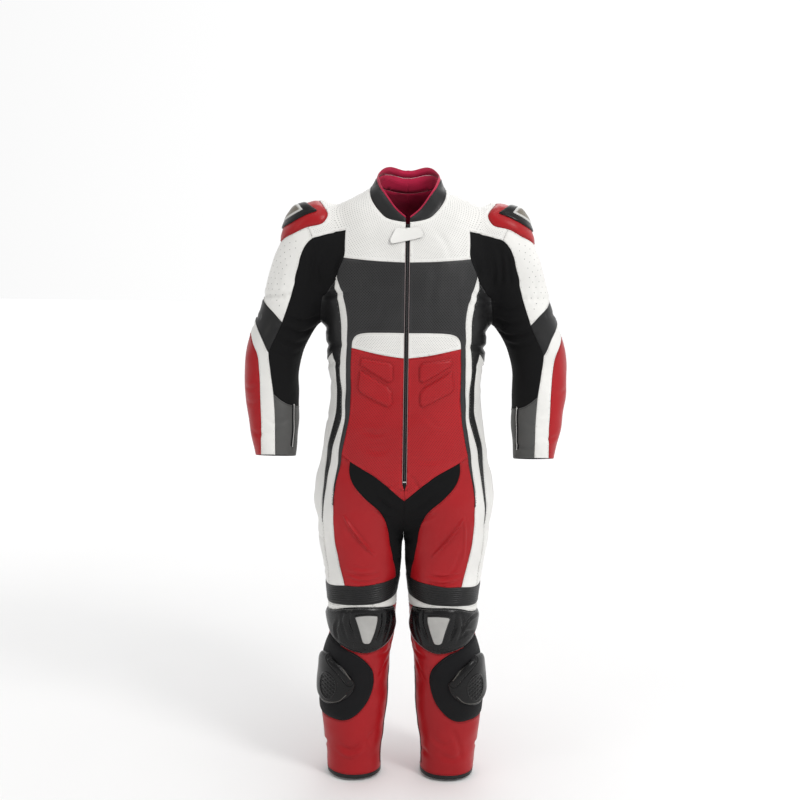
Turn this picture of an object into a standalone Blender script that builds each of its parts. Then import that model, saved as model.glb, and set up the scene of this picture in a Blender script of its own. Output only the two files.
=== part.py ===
"""Motorcycle race suit: a worn, hollow one-piece leather suit, built from its cut pieces.

The suit stands in its worn pose. +Z is up, the front faces -Y and +X is the wearer's left. The origin lies
at the base of the neck, between the shoulders, where the wearer holds the suit up. Lengths are in metres
and angles in degrees.

The outer surface is one smooth form: a torso, two legs and two sleeves, each given by a short table of
level sections, blended where they meet. Seam lines drawn on that form cut it into the pieces that a maker
would sew, and each piece is a thin wall. The left half is worked out and the right half mirrors it.
"""
import math
from functools import lru_cache

import bpy
import numpy as np
from mathutils import Vector
from mathutils.geometry import delaunay_2d_cdt
from mathutils.kdtree import KDTree

# ---------------------------------------------------------------- driving sizes
LEATHER = 0.0020            # wall of every sewn piece
SEAM_GAP = 0.0003           # between two pieces at a seam, and under what lies on a panel
MESH_STEP = 0.041           # size of a facet
SEAM_STEP = 0.036           # longest straight stretch of a seam
WRIST = -0.585              # level of the sleeve's end
WRIST_SLOPE = 0.009
WRIST_TURNS = (-180, -150, -120, -95, -74, -52, -20, 10, 40, 70, 105, 140, 180)
HEM = -1.336                # level of the leg's end
ZIP_TOP = -0.070
ZIP_BOTTOM = -0.636
ZIP_HALF_WIDTH = 0.0042
ZIP_OPENING = 0.0046        # half the gap between the two fronts where the zip lies
CROTCH_AXIS = -0.600        # level from which the centre line is drawn round the crotch
UNDERARM = 180.0            # turn of the sleeve's seam, which faces the body
INSEAM = 180.0              # turn of the leg's inner seam

# ---------------------------------------------------------------- level sections of the outer form
# level, centre_x, centre_y, half_width, front_depth, back_depth
TORSO = np.array([
    (0.100, 0.000, 0.010, 0.068, 0.060, 0.062),      # inside the collar
    (0.030, 0.000, 0.010, 0.072, 0.066, 0.062),      # neck
    (0.010, 0.000, 0.010, 0.084, 0.070, 0.066),
    (-0.010, 0.000, 0.010, 0.122, 0.076, 0.078),
    (-0.030, 0.000, 0.010, 0.160, 0.084, 0.092),     # slope of the shoulder
    (-0.060, 0.000, 0.010, 0.182, 0.096, 0.104),
    (-0.100, 0.000, 0.010, 0.188, 0.112, 0.112),
    (-0.160, 0.000, 0.010, 0.190, 0.128, 0.118),     # chest
    (-0.230, 0.000, 0.008, 0.188, 0.132, 0.116),
    (-0.300, 0.000, 0.004, 0.182, 0.126, 0.110),
    (-0.360, 0.000, 0.000, 0.177, 0.120, 0.104),
    (-0.450, 0.000, 0.000, 0.169, 0.118, 0.098),     # waist
    (-0.520, 0.000, 0.002, 0.179, 0.122, 0.104),
    (-0.600, 0.000, 0.006, 0.190, 0.122, 0.120),
    (-0.660, 0.000, 0.010, 0.196, 0.116, 0.132),     # hip
    (-0.700, 0.000, 0.012, 0.192, 0.100, 0.130),
    (-0.730, 0.000, 0.012, 0.170, 0.076, 0.108),
    (-0.750, 0.000, 0.012, 0.120, 0.050, 0.074),
    (-0.765, 0.000, 0.012, 0.050, 0.020, 0.030),     # underside of the crotch
])
LEG = np.array([
    (-0.540, 0.090, 0.010, 0.030, 0.030, 0.030),     # inside the hip
    (-0.620, 0.100, 0.010, 0.080, 0.096, 0.100),
    (-0.680, 0.102, 0.010, 0.095, 0.112, 0.122),
    (-0.740, 0.100, 0.008, 0.096, 0.110, 0.118),
    (-0.790, 0.098, 0.006, 0.095, 0.104, 0.108),     # thigh
    (-0.835, 0.094, 0.004, 0.090, 0.098, 0.100),
    (-0.885, 0.094, 0.002, 0.083, 0.092, 0.092),
    (-0.955, 0.093, -0.002, 0.077, 0.084, 0.080),    # knee
    (-1.003, 0.094, -0.004, 0.075, 0.080, 0.074),
    (-1.050, 0.103, -0.002, 0.076, 0.076, 0.076),
    (-1.110, 0.108, 0.004, 0.078, 0.074, 0.084),     # calf
    (-1.170, 0.110, 0.008, 0.078, 0.072, 0.084),
    (-1.230, 0.111, 0.008, 0.071, 0.068, 0.076),
    (-1.290, 0.110, 0.006, 0.064, 0.064, 0.068),
    (-1.340, 0.108, 0.004, 0.062, 0.064, 0.064),     # ankle
    (-1.400, 0.107, 0.004, 0.061, 0.064, 0.064),
])
SLEEVE = np.array([
    (-0.018, 0.190, 0.010, 0.006, 0.008, 0.008),     # crown of the shoulder
    (-0.026, 0.196, 0.010, 0.020, 0.026, 0.026),
    (-0.034, 0.202, 0.010, 0.038, 0.044, 0.044),
    (-0.050, 0.204, 0.010, 0.053, 0.058, 0.060),     # shoulder
    (-0.075, 0.206, 0.010, 0.064, 0.070, 0.072),
    (-0.105, 0.210, 0.010, 0.071, 0.078, 0.080),
    (-0.150, 0.224, 0.012, 0.076, 0.082, 0.082),
    (-0.200, 0.241, 0.014, 0.073, 0.078, 0.078),     # upper arm
    (-0.250, 0.258, 0.016, 0.069, 0.074, 0.074),
    (-0.300, 0.277, 0.018, 0.069, 0.072, 0.072),     # elbow
    (-0.350, 0.296, 0.012, 0.065, 0.068, 0.070),
    (-0.400, 0.302, 0.000, 0.061, 0.066, 0.066),     # forearm
    (-0.450, 0.300, -0.014, 0.060, 0.062, 0.060),
    (-0.500, 0.295, -0.028, 0.057, 0.056, 0.056),
    (-0.550, 0.291, -0.040, 0.050, 0.050, 0.050),
    (-0.600, 0.287, -0.050, 0.043, 0.044, 0.044),    # wrist
    (-0.640, 0.284, -0.056, 0.041, 0.042, 0.042),
])
TORSO_SQUARENESS = 2.3      # 2 is an ellipse, more is squarer
LIMB_SQUARENESS = 2.1
HIP_BLEND = 0.030           # width of the soft joins between the tubes
SHOULDER_BLEND = 0.035

# turn round the neck from the wearer's left side, and rise of the ray from the chest, in degrees
NECK_RING = [(-90, 40.6), (-66, 41.6), (-55, 45.0), (-44, 50.0), (-23, 59.5), (0, 62.5), (50, 65.2), (90, 66.0)]
COLLAR_RING = [(-90, 44.5), (-75, 50.0), (-57, 58.0), (-34, 64.5), (-12, 68.0), (20, 69.8), (55, 71.4), (90, 72.0)]
EDGE_RISE = 1.6             # the lining edge shows this much above the collar

# the armhole lies near a plane across the arm: how far up it, from -1 at the armpit to 1 on the shoulder, and x
ARMHOLE = np.array([(-1.0, 0.193), (-0.7, 0.180), (0.0, 0.168), (0.75, 0.160), (1.0, 0.158)])
ARMHOLE_CENTRE = (0.010, -0.140)    # y, z


# ---------------------------------------------------------------- the outer form
def through(xs, ys, x):
    """The smooth curve through the points (xs, ys), with xs rising, held level past its ends.

    ys may have several columns, which are read together.
    """
    slope = np.gradient(ys, xs, axis=0)
    i = np.clip(np.searchsorted(xs, x) - 1, 0, len(xs) - 2)
    span = xs[i + 1] - xs[i]
    t = np.clip((x - xs[i]) / span, 0.0, 1.0)
    if ys.ndim > 1:
        span = span[:, None]
        t = t[:, None]
    start = (2 * t**3 - 3 * t**2 + 1) * ys[i] + (t**3 - 2 * t**2 + t) * span * slope[i]
    end = (3 * t**2 - 2 * t**3) * ys[i + 1] + (t**3 - t**2) * span * slope[i + 1]
    return start + end


def tube(table, squareness, points):
    """How far each point lies outside a tube of level sections, and below zero inside it."""
    centre_x, centre_y, half, front, back = through(table[::-1, 0], table[::-1, 1:], points[:, 2]).T
    across = np.abs(points[:, 0] - centre_x) / half
    along = points[:, 1] - centre_y
    along = np.abs(along) / np.where(along < 0, front, back)
    radius = (across**squareness + along**squareness) ** (1 / squareness)
    wall = (radius - 1) * np.minimum(half, 0.5 * (front + back))
    ends = np.maximum(points[:, 2] - table[0, 0], table[-1, 0] - points[:, 2])
    return np.maximum(wall, ends)


def soft_union(a, b, width):
    overlap = np.maximum(width - np.abs(a - b), 0) / width
    return np.minimum(a, b) - overlap**2 * width / 4


def form(points):
    """Below zero inside the suit's outer surface, zero on it and above zero outside."""
    mirrored = points.copy()
    mirrored[:, 0] = np.abs(mirrored[:, 0])
    body = soft_union(tube(TORSO, TORSO_SQUARENESS, mirrored), tube(LEG, LIMB_SQUARENESS, mirrored), HIP_BLEND)
    return soft_union(body, tube(SLEEVE, LIMB_SQUARENESS, mirrored), SHOULDER_BLEND)


def first_wall(starts, directions, reach=0.40, steps=48, halvings=22):
    """Where each ray from inside first leaves the form."""
    near = np.zeros(len(starts))
    far = np.full(len(starts), reach)
    found = np.zeros(len(starts), bool)
    for step in range(1, steps + 1):
        distance = reach * step / steps
        outside = (form(starts + directions * distance) > 0) & ~found
        far[outside] = distance
        found |= outside
        near[~found] = distance
    for _ in range(halvings):
        middle = 0.5 * (near + far)
        outside = form(starts + directions * middle[:, None]) > 0
        far = np.where(outside, middle, far)
        near = np.where(outside, near, middle)
    return starts + directions * far[:, None]


def outward(points, reach=0.004):
    """The form's outward direction at each point."""
    slope = np.empty_like(points)
    for axis in range(3):
        shift = np.zeros(3)
        shift[axis] = reach
        slope[:, axis] = form(points + shift) - form(points - shift)
    return slope / np.linalg.norm(slope, axis=1)[:, None]


# ---------------------------------------------------------------- charts: flat maps of the form
class Chart:
    """A flat map of a tube: a map point is (turn * girth, height).

    The turn goes round the tube's axis from its +X side, and the girth is the tube's mean radius there.
    The height is the level up to the top level. Above it the chart leans over, and the height grows with
    the lean.
    """

    LEAN_RADIUS = 0.150

    def __init__(self, axis, top_level, girth):
        self.axis = np.array(axis)          # level, centre_x, centre_y, rising
        self.top_level = top_level
        self.girth_rows = np.array(girth)   # height, mean radius, rising

    def centre(self, level):
        level = np.minimum(level, self.top_level)
        middle = through(self.axis[:, 0], self.axis[:, 1:], level)
        return np.column_stack([middle, level])

    def girth(self, height):
        return through(self.girth_rows[:, 0], self.girth_rows[:, 1], height)

    def turn_map(self, turn, height):
        """The map point at a turn in degrees and a height."""
        return np.stack([np.radians(turn) * self.girth(height), np.asarray(height, float)], axis=-1)

    def lean_map(self, turn, lean):
        return self.turn_map(np.asarray(turn, float), self.top_level + self.LEAN_RADIUS * np.radians(lean))

    def find(self, points):
        """The map points of places on the form."""
        centre = self.centre(points[:, 2])
        turn, lean = self.turn_and_lean(points - centre, points)
        height = np.where(points[:, 2] > self.top_level, self.top_level + self.LEAN_RADIUS * lean, points[:, 2])
        return self.turn_map(np.degrees(turn), height)

    def place(self, maps):
        """The places on the form of map points."""
        height = maps[:, 1]
        turn = maps[:, 0] / self.girth(height)
        lean = np.maximum(height - self.top_level, 0) / self.LEAN_RADIUS
        return first_wall(*self.rays(turn, lean, self.centre(height)))


class BodyChart(Chart):
    """The torso and one leg. Above the chest the rays rise from one point, like a fan."""

    def turn_and_lean(self, offset, points):
        return (np.arctan2(offset[:, 1], offset[:, 0]),
                np.arctan2(offset[:, 2], np.hypot(offset[:, 0], offset[:, 1])))

    def rays(self, turn, lean, centre):
        level = np.cos(lean)
        return centre, np.column_stack([level * np.cos(turn), level * np.sin(turn), np.sin(lean)])


class SleeveChart(Chart):
    """The sleeve. Above the upper arm its sections lean over, about a pivot, to meet the armhole."""

    LEAN_RADIUS = 0.130
    BEND = 0.085        # from the pivot to the axis

    def lean_way(self, lean):
        return np.column_stack([np.cos(lean), np.zeros_like(lean), np.sin(lean)])

    def pivot(self):
        return self.centre(np.array([self.top_level]))[0] - (self.BEND, 0, 0)

    def turn_and_lean(self, offset, points):
        away = points - self.pivot()
        lean = np.where(points[:, 2] > self.top_level, np.arctan2(away[:, 2], away[:, 0]), 0.0)
        outer = np.where(lean > 0, np.hypot(away[:, 0], away[:, 2]) - self.BEND, offset[:, 0])
        return np.arctan2(offset[:, 1], outer), lean

    def rays(self, turn, lean, centre):
        way = self.lean_way(lean)
        starts = np.where(lean[:, None] > 0, self.pivot() + self.BEND * way, centre)
        return starts, np.cos(turn)[:, None] * way + np.sin(turn)[:, None] * np.array((0.0, 1.0, 0.0))


BODY = BodyChart(
    axis=[(-1.34, 0.108, 0.004), (-1.20, 0.110, 0.008), (-1.10, 0.107, 0.004), (-1.00, 0.095, 0.0),
          (-0.80, 0.096, 0.006), (-0.70, 0.080, 0.010), (-0.60, 0.050, 0.008), (-0.50, 0.015, 0.004),
          (-0.42, 0.0, 0.002), (-0.15, 0.0, 0.010)],
    top_level=-0.150,
    girth=[(-1.34, 0.066), (-1.15, 0.080), (-0.95, 0.080), (-0.80, 0.095), (-0.60, 0.130), (-0.40, 0.140),
           (-0.15, 0.150), (0.0, 0.105), (0.05, 0.070)],
)
ARM = SleeveChart(
    axis=[(row[0], row[1], row[2]) for row in SLEEVE[::-1] if row[0] < -0.190],
    top_level=-0.200,
    girth=[(-0.60, 0.045), (-0.50, 0.056), (-0.35, 0.068), (-0.20, 0.078), (0.00, 0.080)],
)


@lru_cache(maxsize=None)
def on_view(x, z, facing):
    """The place on the form seen at (x, z), from the front where facing is -1 and the back where it is 1."""
    return first_wall(np.array([[x, 0.012, z]]), np.array([[0.0, float(facing), 0.0]]), 0.20, 12)


def armhole_place(angle):
    """The armhole at an angle about its centre: 90 is the shoulder, 180 the front, 270 the armpit."""
    angle = np.radians(np.atleast_1d(np.asarray(angle, float)))
    across = through(ARMHOLE[:, 0], ARMHOLE[:, 1], np.sin(angle))
    starts = np.stack([across, np.full_like(across, ARMHOLE_CENTRE[0]),
                       np.full_like(across, ARMHOLE_CENTRE[1])], axis=-1)
    directions = np.stack([np.zeros_like(angle), np.cos(angle), np.sin(angle)], axis=-1)
    return first_wall(starts, directions)


@lru_cache(maxsize=None)
def armhole_angle(level, facing):
    """The angle at which the armhole crosses a level, in front where facing is -1."""
    angles = np.linspace(270.0, 90.0, 181) if facing < 0 else np.linspace(-90.0, 90.0, 181)
    return float(np.interp(level, armhole_place(angles)[:, 2], angles))


def centre_place(angle):
    """The centre line at an angle about a point inside the hips: 180 is the front, 270 the crotch."""
    angle = np.radians(np.atleast_1d(np.asarray(angle, float)))
    starts = np.tile((0.0, 0.006, CROTCH_AXIS), (len(angle), 1))
    directions = np.stack([np.zeros_like(angle), np.cos(angle), np.sin(angle)], axis=-1)
    return first_wall(starts, directions)


# ---------------------------------------------------------------- points on the seam lines
def front(x, z, chart=BODY):
    return chart.find(on_view(x, z, -1))[0]


def back(x, z, chart=BODY):
    return chart.find(on_view(x, z, 1))[0]


def turned(turn, level, chart=BODY):
    return chart.turn_map(float(turn), level)


def ring_maps(ring):
    turns, leans = np.array(ring, float).T
    return BODY.find(BODY.place(BODY.lean_map(turns, leans)))


def smooth_line(points, step):
    """A curve through map points, as points at most a step apart that keep the given ones."""
    points = np.asarray(points, float)
    padded = np.vstack([2 * points[0] - points[1], points, 2 * points[-1] - points[-2]])
    line = []
    for i in range(len(points) - 1):
        before, a, b, after = padded[i:i + 4]
        pieces = max(1, math.ceil(np.linalg.norm(b - a) / step - 0.2))
        for k in range(pieces):
            t = k / pieces
            line.append(0.5 * (2 * a + (b - before) * t + (2 * before - 5 * a + 4 * b - after) * t**2
                               + (3 * a - before - 3 * b + after) * t**3))
    line.append(points[-1])
    return np.array(line)


class Net:
    """Seam lines on a chart, and the triangles that they cut it into."""

    def __init__(self, chart):
        self.chart = chart
        self.maps = []
        self.edges = []
        self.fixed = []         # the place of a point that is known better than the chart gives it

    def add(self, maps, places=None):
        first = len(self.maps)
        self.maps.extend(np.asarray(maps, float))
        self.fixed.extend(places if places is not None else [None] * len(maps))
        self.edges.extend((first + i, first + i + 1) for i in range(len(maps) - 1))

    def seam(self, *points, step=SEAM_STEP):
        self.add(smooth_line(points, step))

    def cut(self, step):
        """Triangles between the seam lines, with a region number each."""
        lines = np.array(self.maps)
        tree = KDTree(len(lines))
        for index, point in enumerate(lines):
            tree.insert((point[0], point[1], 0.0), index)
        tree.balance()
        low, high = lines.min(axis=0), lines.max(axis=0)
        grid = []
        for row, height in enumerate(np.arange(low[1], high[1], step * math.sqrt(0.75))):
            for across in np.arange(low[0] + (row % 2) * step / 2, high[0], step):
                if tree.find((across, height, 0.0))[2] > 0.62 * step:
                    grid.append((across, height))
        points = [Vector(p) for p in self.maps] + [Vector(p) for p in grid]
        maps, edges, faces, origins, edge_origins, _ = delaunay_2d_cdt(points, self.edges, [], 0, 1e-6)
        self.flat = np.array([tuple(p) for p in maps])
        self.faces = np.array(faces)
        self.place_of = [next((self.fixed[i] for i in origin if i < len(self.fixed)
                               and self.fixed[i] is not None), None) for origin in origins]
        walls = {tuple(sorted(edge)) for edge, origin in zip(edges, edge_origins) if origin}
        self.region = flood(self.faces, walls)

    def region_at(self, point):
        """The region that holds a map point."""
        a, b, c = (self.flat[self.faces[:, k]] for k in range(3))

        def side(p, q):
            return (q[:, 0] - p[:, 0]) * (point[1] - p[:, 1]) - (q[:, 1] - p[:, 1]) * (point[0] - p[:, 0])
        inside = (side(a, b) >= 0) & (side(b, c) >= 0) & (side(c, a) >= 0)
        return self.region[int(np.argmax(inside))]


def flood(faces, walls):
    """A number for each face, the same for faces that no wall parts."""
    across = {}
    for index, face in enumerate(faces):
        for k in range(3):
            edge = tuple(sorted((int(face[k]), int(face[(k + 1) % 3]))))
            if edge not in walls:
                across.setdefault(edge, []).append(index)
    neighbours = [[] for _ in faces]
    for pair in across.values():
        if len(pair) == 2:
            neighbours[pair[0]].append(pair[1])
            neighbours[pair[1]].append(pair[0])
    region = np.full(len(faces), -1)
    for start in range(len(faces)):
        if region[start] >= 0:
            continue
        region[start] = start
        queue = [start]
        while queue:
            for other in neighbours[queue.pop()]:
                if region[other] < 0:
                    region[other] = start
                    queue.append(other)
    return region


# ---------------------------------------------------------------- the seams of the body and leg
YOKE_LEVEL = -0.153
BELLY_TOP = -0.303
BELLY_BOTTOM = -0.358
BACK_YOKE_LEVEL = -0.205
SEAT_LEVEL = -0.500
KNEE_BACK = -0.930
BAND_TOP = -0.872
HEM_TOP = -1.3270
STRETCH_TOP_LEVEL = -0.091      # where seams cross the armhole
STRETCH_END_LEVEL = -0.230
BACK_SLEEVE_LEVEL = -0.125
BACK_YOKE_SIDE = -0.190
BACK_SIDE_LEVEL = -0.235
SHOULDER_ANGLE = 90.0


def mid(level, facing=-1):
    return BODY.find(on_view(0.0, level, facing))[0]


def armhole_points():
    """The armhole's places, all the way round from the armpit up the front and down the back."""
    front_joins = [armhole_angle(level, -1) for level in (STRETCH_END_LEVEL, STRETCH_TOP_LEVEL)]
    back_joins = [armhole_angle(level, 1) for level in (BACK_SLEEVE_LEVEL, BACK_YOKE_SIDE, BACK_SIDE_LEVEL)]
    joins = [270.0, *front_joins, SHOULDER_ANGLE, *back_joins, -90.0]
    angles = []
    for high, low in zip(joins, joins[1:]):
        length = np.linalg.norm(armhole_place(high) - armhole_place(low))
        pieces = max(1, math.ceil(1.15 * length / SEAM_STEP))
        angles += [high + (low - high) * k / pieces for k in range(pieces)]
    angles.append(-90.0)
    return armhole_place(angles)


def centre_places():
    """The centre line: down the front, round the crotch and up the back, and where the crotch is in it."""
    collar = [ring[0] for ring in (ring_maps(COLLAR_EDGE), ring_maps(COLLAR_RING), ring_maps(NECK_RING))]
    top = list(BODY.place(np.array(collar)))
    levels = stepped([-0.110, YOKE_LEVEL, BELLY_TOP, BELLY_BOTTOM, CROTCH_AXIS])
    down = [on_view(0.0, level, -1)[0] for level in levels]
    under = list(centre_place([190, ZIP_END_ANGLE, 208, GROIN_ANGLE, 232, 243, 254, 263]))
    crotch = len(top) + len(down) + len(under)
    under += list(centre_place([270, 277, 288, 302, 318, 335, 348]))
    levels = stepped([CROTCH_AXIS, SEAT_LEVEL, BACK_YOKE_LEVEL, -0.02])
    up = [on_view(0.0, level, 1)[0] for level in levels]
    collar = [ring[-1] for ring in (ring_maps(NECK_RING), ring_maps(COLLAR_RING), ring_maps(COLLAR_EDGE))]
    return top + down + under + up + list(BODY.place(np.array(collar))), crotch


def stepped(levels):
    """The levels with more between them, so that none is further than a seam's step from the next."""
    out = []
    for a, b in zip(levels, levels[1:]):
        pieces = max(1, round(abs(b - a) / SEAM_STEP))
        out += [a + (b - a) * k / pieces for k in range(pieces)]
    return out + [levels[-1]]


COLLAR_EDGE = [(turn, rise + EDGE_RISE) for turn, rise in COLLAR_RING]
GROIN_ANGLE = 215.0
ZIP_END_ANGLE = 200.0


def unwound(maps, sign):
    """Map points that all lie on one side of the body chart's cut: -1 for the front, 1 for the back."""
    whole_turn = 2 * math.pi * BODY.girth(maps[:, 1])
    beyond = sign * maps[:, 0] < -0.25 * whole_turn
    return maps + np.column_stack([sign * beyond * whole_turn, np.zeros(len(maps))])


def body_net(armhole):
    net = Net(BODY)
    places, crotch = centre_places()
    maps = BODY.find(np.array(places))
    low = places[crotch][2]
    net.add(np.vstack([unwound(maps[:crotch], -1), turned(-INSEAM, low)]), places[:crotch + 1])
    net.add(np.vstack([turned(INSEAM, low), unwound(maps[crotch + 1:], 1)]), places[crotch:])
    hole = BODY.find(armhole)
    net.add(hole, list(armhole))

    def on_armhole(level, facing):
        return BODY.find(armhole_place(armhole_angle(level, facing)))[0]

    for ring in (NECK_RING, COLLAR_RING, COLLAR_EDGE):
        net.seam(*ring_maps(ring))
    shoulder = BODY.find(armhole_place(SHOULDER_ANGLE))[0]
    neck_side = ring_maps(NECK_RING)[5]
    net.seam(neck_side, (0.5 * neck_side + 0.5 * shoulder), shoulder)

    # the chest, the stretch panel's edge and the side stripe
    corner = front(0.135, -0.084)
    chest_end = front(0.138, -0.144)
    stripe_top = front(0.154, -0.181)
    stripe_top_out = front(0.161, -0.194)
    net.seam(mid(YOKE_LEVEL), front(0.070, -0.150), chest_end)
    net.seam(corner, front(0.157, -0.088), on_armhole(STRETCH_TOP_LEVEL, -1))
    net.seam(corner, front(0.136, -0.115), chest_end, stripe_top, stripe_top_out,
             front(0.170, -0.211), on_armhole(STRETCH_END_LEVEL, -1))
    strip_end = front(0.158, -0.690)
    hip_tip = front(0.1395, -0.574)
    flank_tip = front(0.163, -0.352)
    flank_meets = front(0.1815, -0.735)
    band_in = front(0.131, BAND_TOP - 0.001)
    band_out = front(0.167, -0.880)
    net.seam(stripe_top, front(0.142, -0.218), front(0.130, -0.263), front(0.130, -0.335),
             front(0.131, -0.390), front(0.1325, -0.450), front(0.134, -0.500), front(0.145, -0.559),
             front(0.1535, -0.632), strip_end, front(0.157, -0.735), front(0.151, -0.783), band_in)
    net.seam(stripe_top_out, front(0.154, -0.222), front(0.145, -0.264), front(0.1425, -0.335),
             front(0.145, -0.390), front(0.141, -0.450), front(0.1425, -0.501), front(0.161, -0.562),
             front(0.176, -0.660), flank_meets, front(0.178, -0.785), band_out)
    net.seam(flank_tip, front(0.155, -0.390), front(0.153, -0.450), front(0.1565, -0.500),
             front(0.1735, -0.565), front(0.181, -0.650), flank_meets)

    # belly band, abdomen and groin
    belly_out = front(0.1195, -0.338)
    net.seam(mid(BELLY_TOP), front(0.050, -0.303), front(0.088, -0.3045), front(0.108, -0.310),
             front(0.117, -0.322), belly_out)
    net.seam(belly_out, front(0.067, -0.349), front(0.030, -0.355), mid(BELLY_BOTTOM))
    net.seam(belly_out, front(0.121, -0.390), front(0.1205, -0.446), front(0.125, -0.501),
             front(0.136, -0.557), hip_tip, front(0.147, -0.620), strip_end)
    groin_tip = front(0.121, -0.589)
    net.seam(hip_tip, groin_tip, front(0.093, -0.604), front(0.065, -0.620), front(0.031, -0.647),
             BODY.find(centre_place(GROIN_ANGLE))[0])
    band_inner = turned(-INSEAM, BAND_TOP + 0.012)
    net.seam(groin_tip, front(0.122, -0.611), front(0.113, -0.638), front(0.087, -0.669),
             front(0.056, -0.698), front(0.041, -0.724), front(0.034, -0.748), front(0.028, -0.790),
             turned(-152, BAND_TOP + 0.009))

    # knee: ribbed band, wavy band, cup and shield
    net.seam(band_inner, turned(-152, BAND_TOP + 0.009), front(0.060, -0.868), front(0.096, BAND_TOP), band_in,
             band_out, turned(0, -0.879), turned(38, BAND_TOP))
    net.seam(turned(-INSEAM, -0.905), front(0.022, -0.908), front(0.060, -0.914), front(0.098, -0.9155),
             front(0.130, -0.918), front(0.160, -0.922), turned(0, -0.925), turned(38, -0.922))
    cup_in = front(0.022, -0.929)
    cup_out = turned(12, -0.9455)
    net.seam(turned(-INSEAM, -0.930), cup_in, front(0.060, -0.9225), front(0.098, -0.9205),
             front(0.130, -0.925), front(0.160, -0.938), cup_out, turned(36, KNEE_BACK - 0.012))
    net.seam(cup_in, turned(-166, -0.972), front(0.029, -1.006), front(0.050, -1.022),
             front(0.082, -1.030), front(0.113, -1.0245), front(0.140, -1.014), turned(-24, -0.994),
             turned(0, -0.975), cup_out)
    shield = [front(0.0590, -0.938), front(0.081, -0.935), front(0.1040, -0.938), front(0.1040, -0.950),
              front(0.0930, -0.992), front(0.0880, -1.002), front(0.0810, -1.004), front(0.0740, -1.002),
              front(0.0690, -0.992), front(0.0585, -0.950), front(0.0590, -0.938)]
    net.seam(*shield)

    # shin: slider patch with its puck, and the hem
    patch = [front(0.140, -1.014), front(0.105, -1.032), front(0.080, -1.054), front(0.065, -1.080),
             front(0.064, -1.110), front(0.075, -1.147), front(0.098, -1.178), front(0.125, -1.195),
             front(0.155, -1.196), turned(0, -1.188), turned(20, -1.150), turned(24, -1.095),
             turned(14, -1.045), turned(-8, -1.012), turned(-24, -0.994)]
    net.seam(*patch)
    puck = [front(0.163, -1.040), front(0.138, -1.060), front(0.108, -1.094), front(0.109, -1.118),
            front(0.126, -1.140), front(0.152, -1.156), front(0.176, -1.158), turned(4, -1.130),
            turned(6, -1.085), turned(-8, -1.050), front(0.163, -1.040)]
    net.seam(*puck)
    net.seam(*[turned(turn, HEM_TOP) for turn in range(-180, 181, 30)])
    net.seam(*[turned(turn, HEM) for turn in range(-180, 181, 30)])

    # the back and the side seam
    net.seam(mid(BACK_YOKE_LEVEL, 1), back(0.070, -0.202), on_armhole(BACK_YOKE_SIDE, 1))
    waist_side = turned(30, SEAT_LEVEL + 0.030)
    net.seam(on_armhole(BACK_SIDE_LEVEL, 1), turned(33, -0.300), turned(31, -0.400), waist_side,
             turned(28, -0.600), turned(33, -0.750), turned(38, BAND_TOP))
    net.seam(flank_tip, turned(0, -0.385), turned(18, -0.430), waist_side)
    net.seam(mid(SEAT_LEVEL, 1), back(0.090, SEAT_LEVEL), waist_side)
    net.seam(turned(38, BAND_TOP), turned(38, -0.922), turned(36, KNEE_BACK - 0.012))
    net.seam(turned(INSEAM, KNEE_BACK - 0.010), turned(108, KNEE_BACK - 0.012), turned(36, KNEE_BACK - 0.012))

    # both sides of the inner seam
    joins = [low, BAND_TOP + 0.012, -0.905, -0.930, KNEE_BACK - 0.010, HEM_TOP, HEM]
    for turn in (-INSEAM, INSEAM):
        net.add([turned(turn, level) for level in stepped(joins)])
    net.cut(MESH_STEP)
    return net


# ---------------------------------------------------------------- the seams of the sleeve
def cast(start, direction, chart=ARM):
    """The map point where a ray from inside leaves the form."""
    return chart.find(first_wall(np.array([start]), np.array([direction], float)))[0]


def above(x, y=0.010):
    return cast((x, y, -0.130), (0, 0, 1))


def outer(z):
    return cast((0.205, 0.010, z), (1, 0, 0))


def wrist_level(turn):
    """The sleeve's end is square to the forearm, so its front is higher than its back."""
    return WRIST - WRIST_SLOPE * math.sin(math.radians(turn))


def pad_outline():
    half = [(0.184, -0.033), (0.175, -0.049), (0.180, -0.063), (0.191, -0.072), (0.217, -0.078),
            (0.250, -0.093), (0.275, -0.105)]
    ahead = [front(x, z, ARM) for x, z in half]
    behind = [back(x, z, ARM) for x, z in half]
    return [above(0.199), *ahead, outer(-0.112), *behind[::-1], above(0.199)]


def plate_outline():
    half = [(0.214, -0.036), (0.199, -0.047), (0.236, -0.063), (0.262, -0.076)]
    ahead = [front(x, z, ARM) for x, z in half]
    behind = [back(x, z, ARM) for x, z in half]
    return [above(0.230), *ahead, outer(-0.084), *behind[::-1], above(0.230)]


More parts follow.
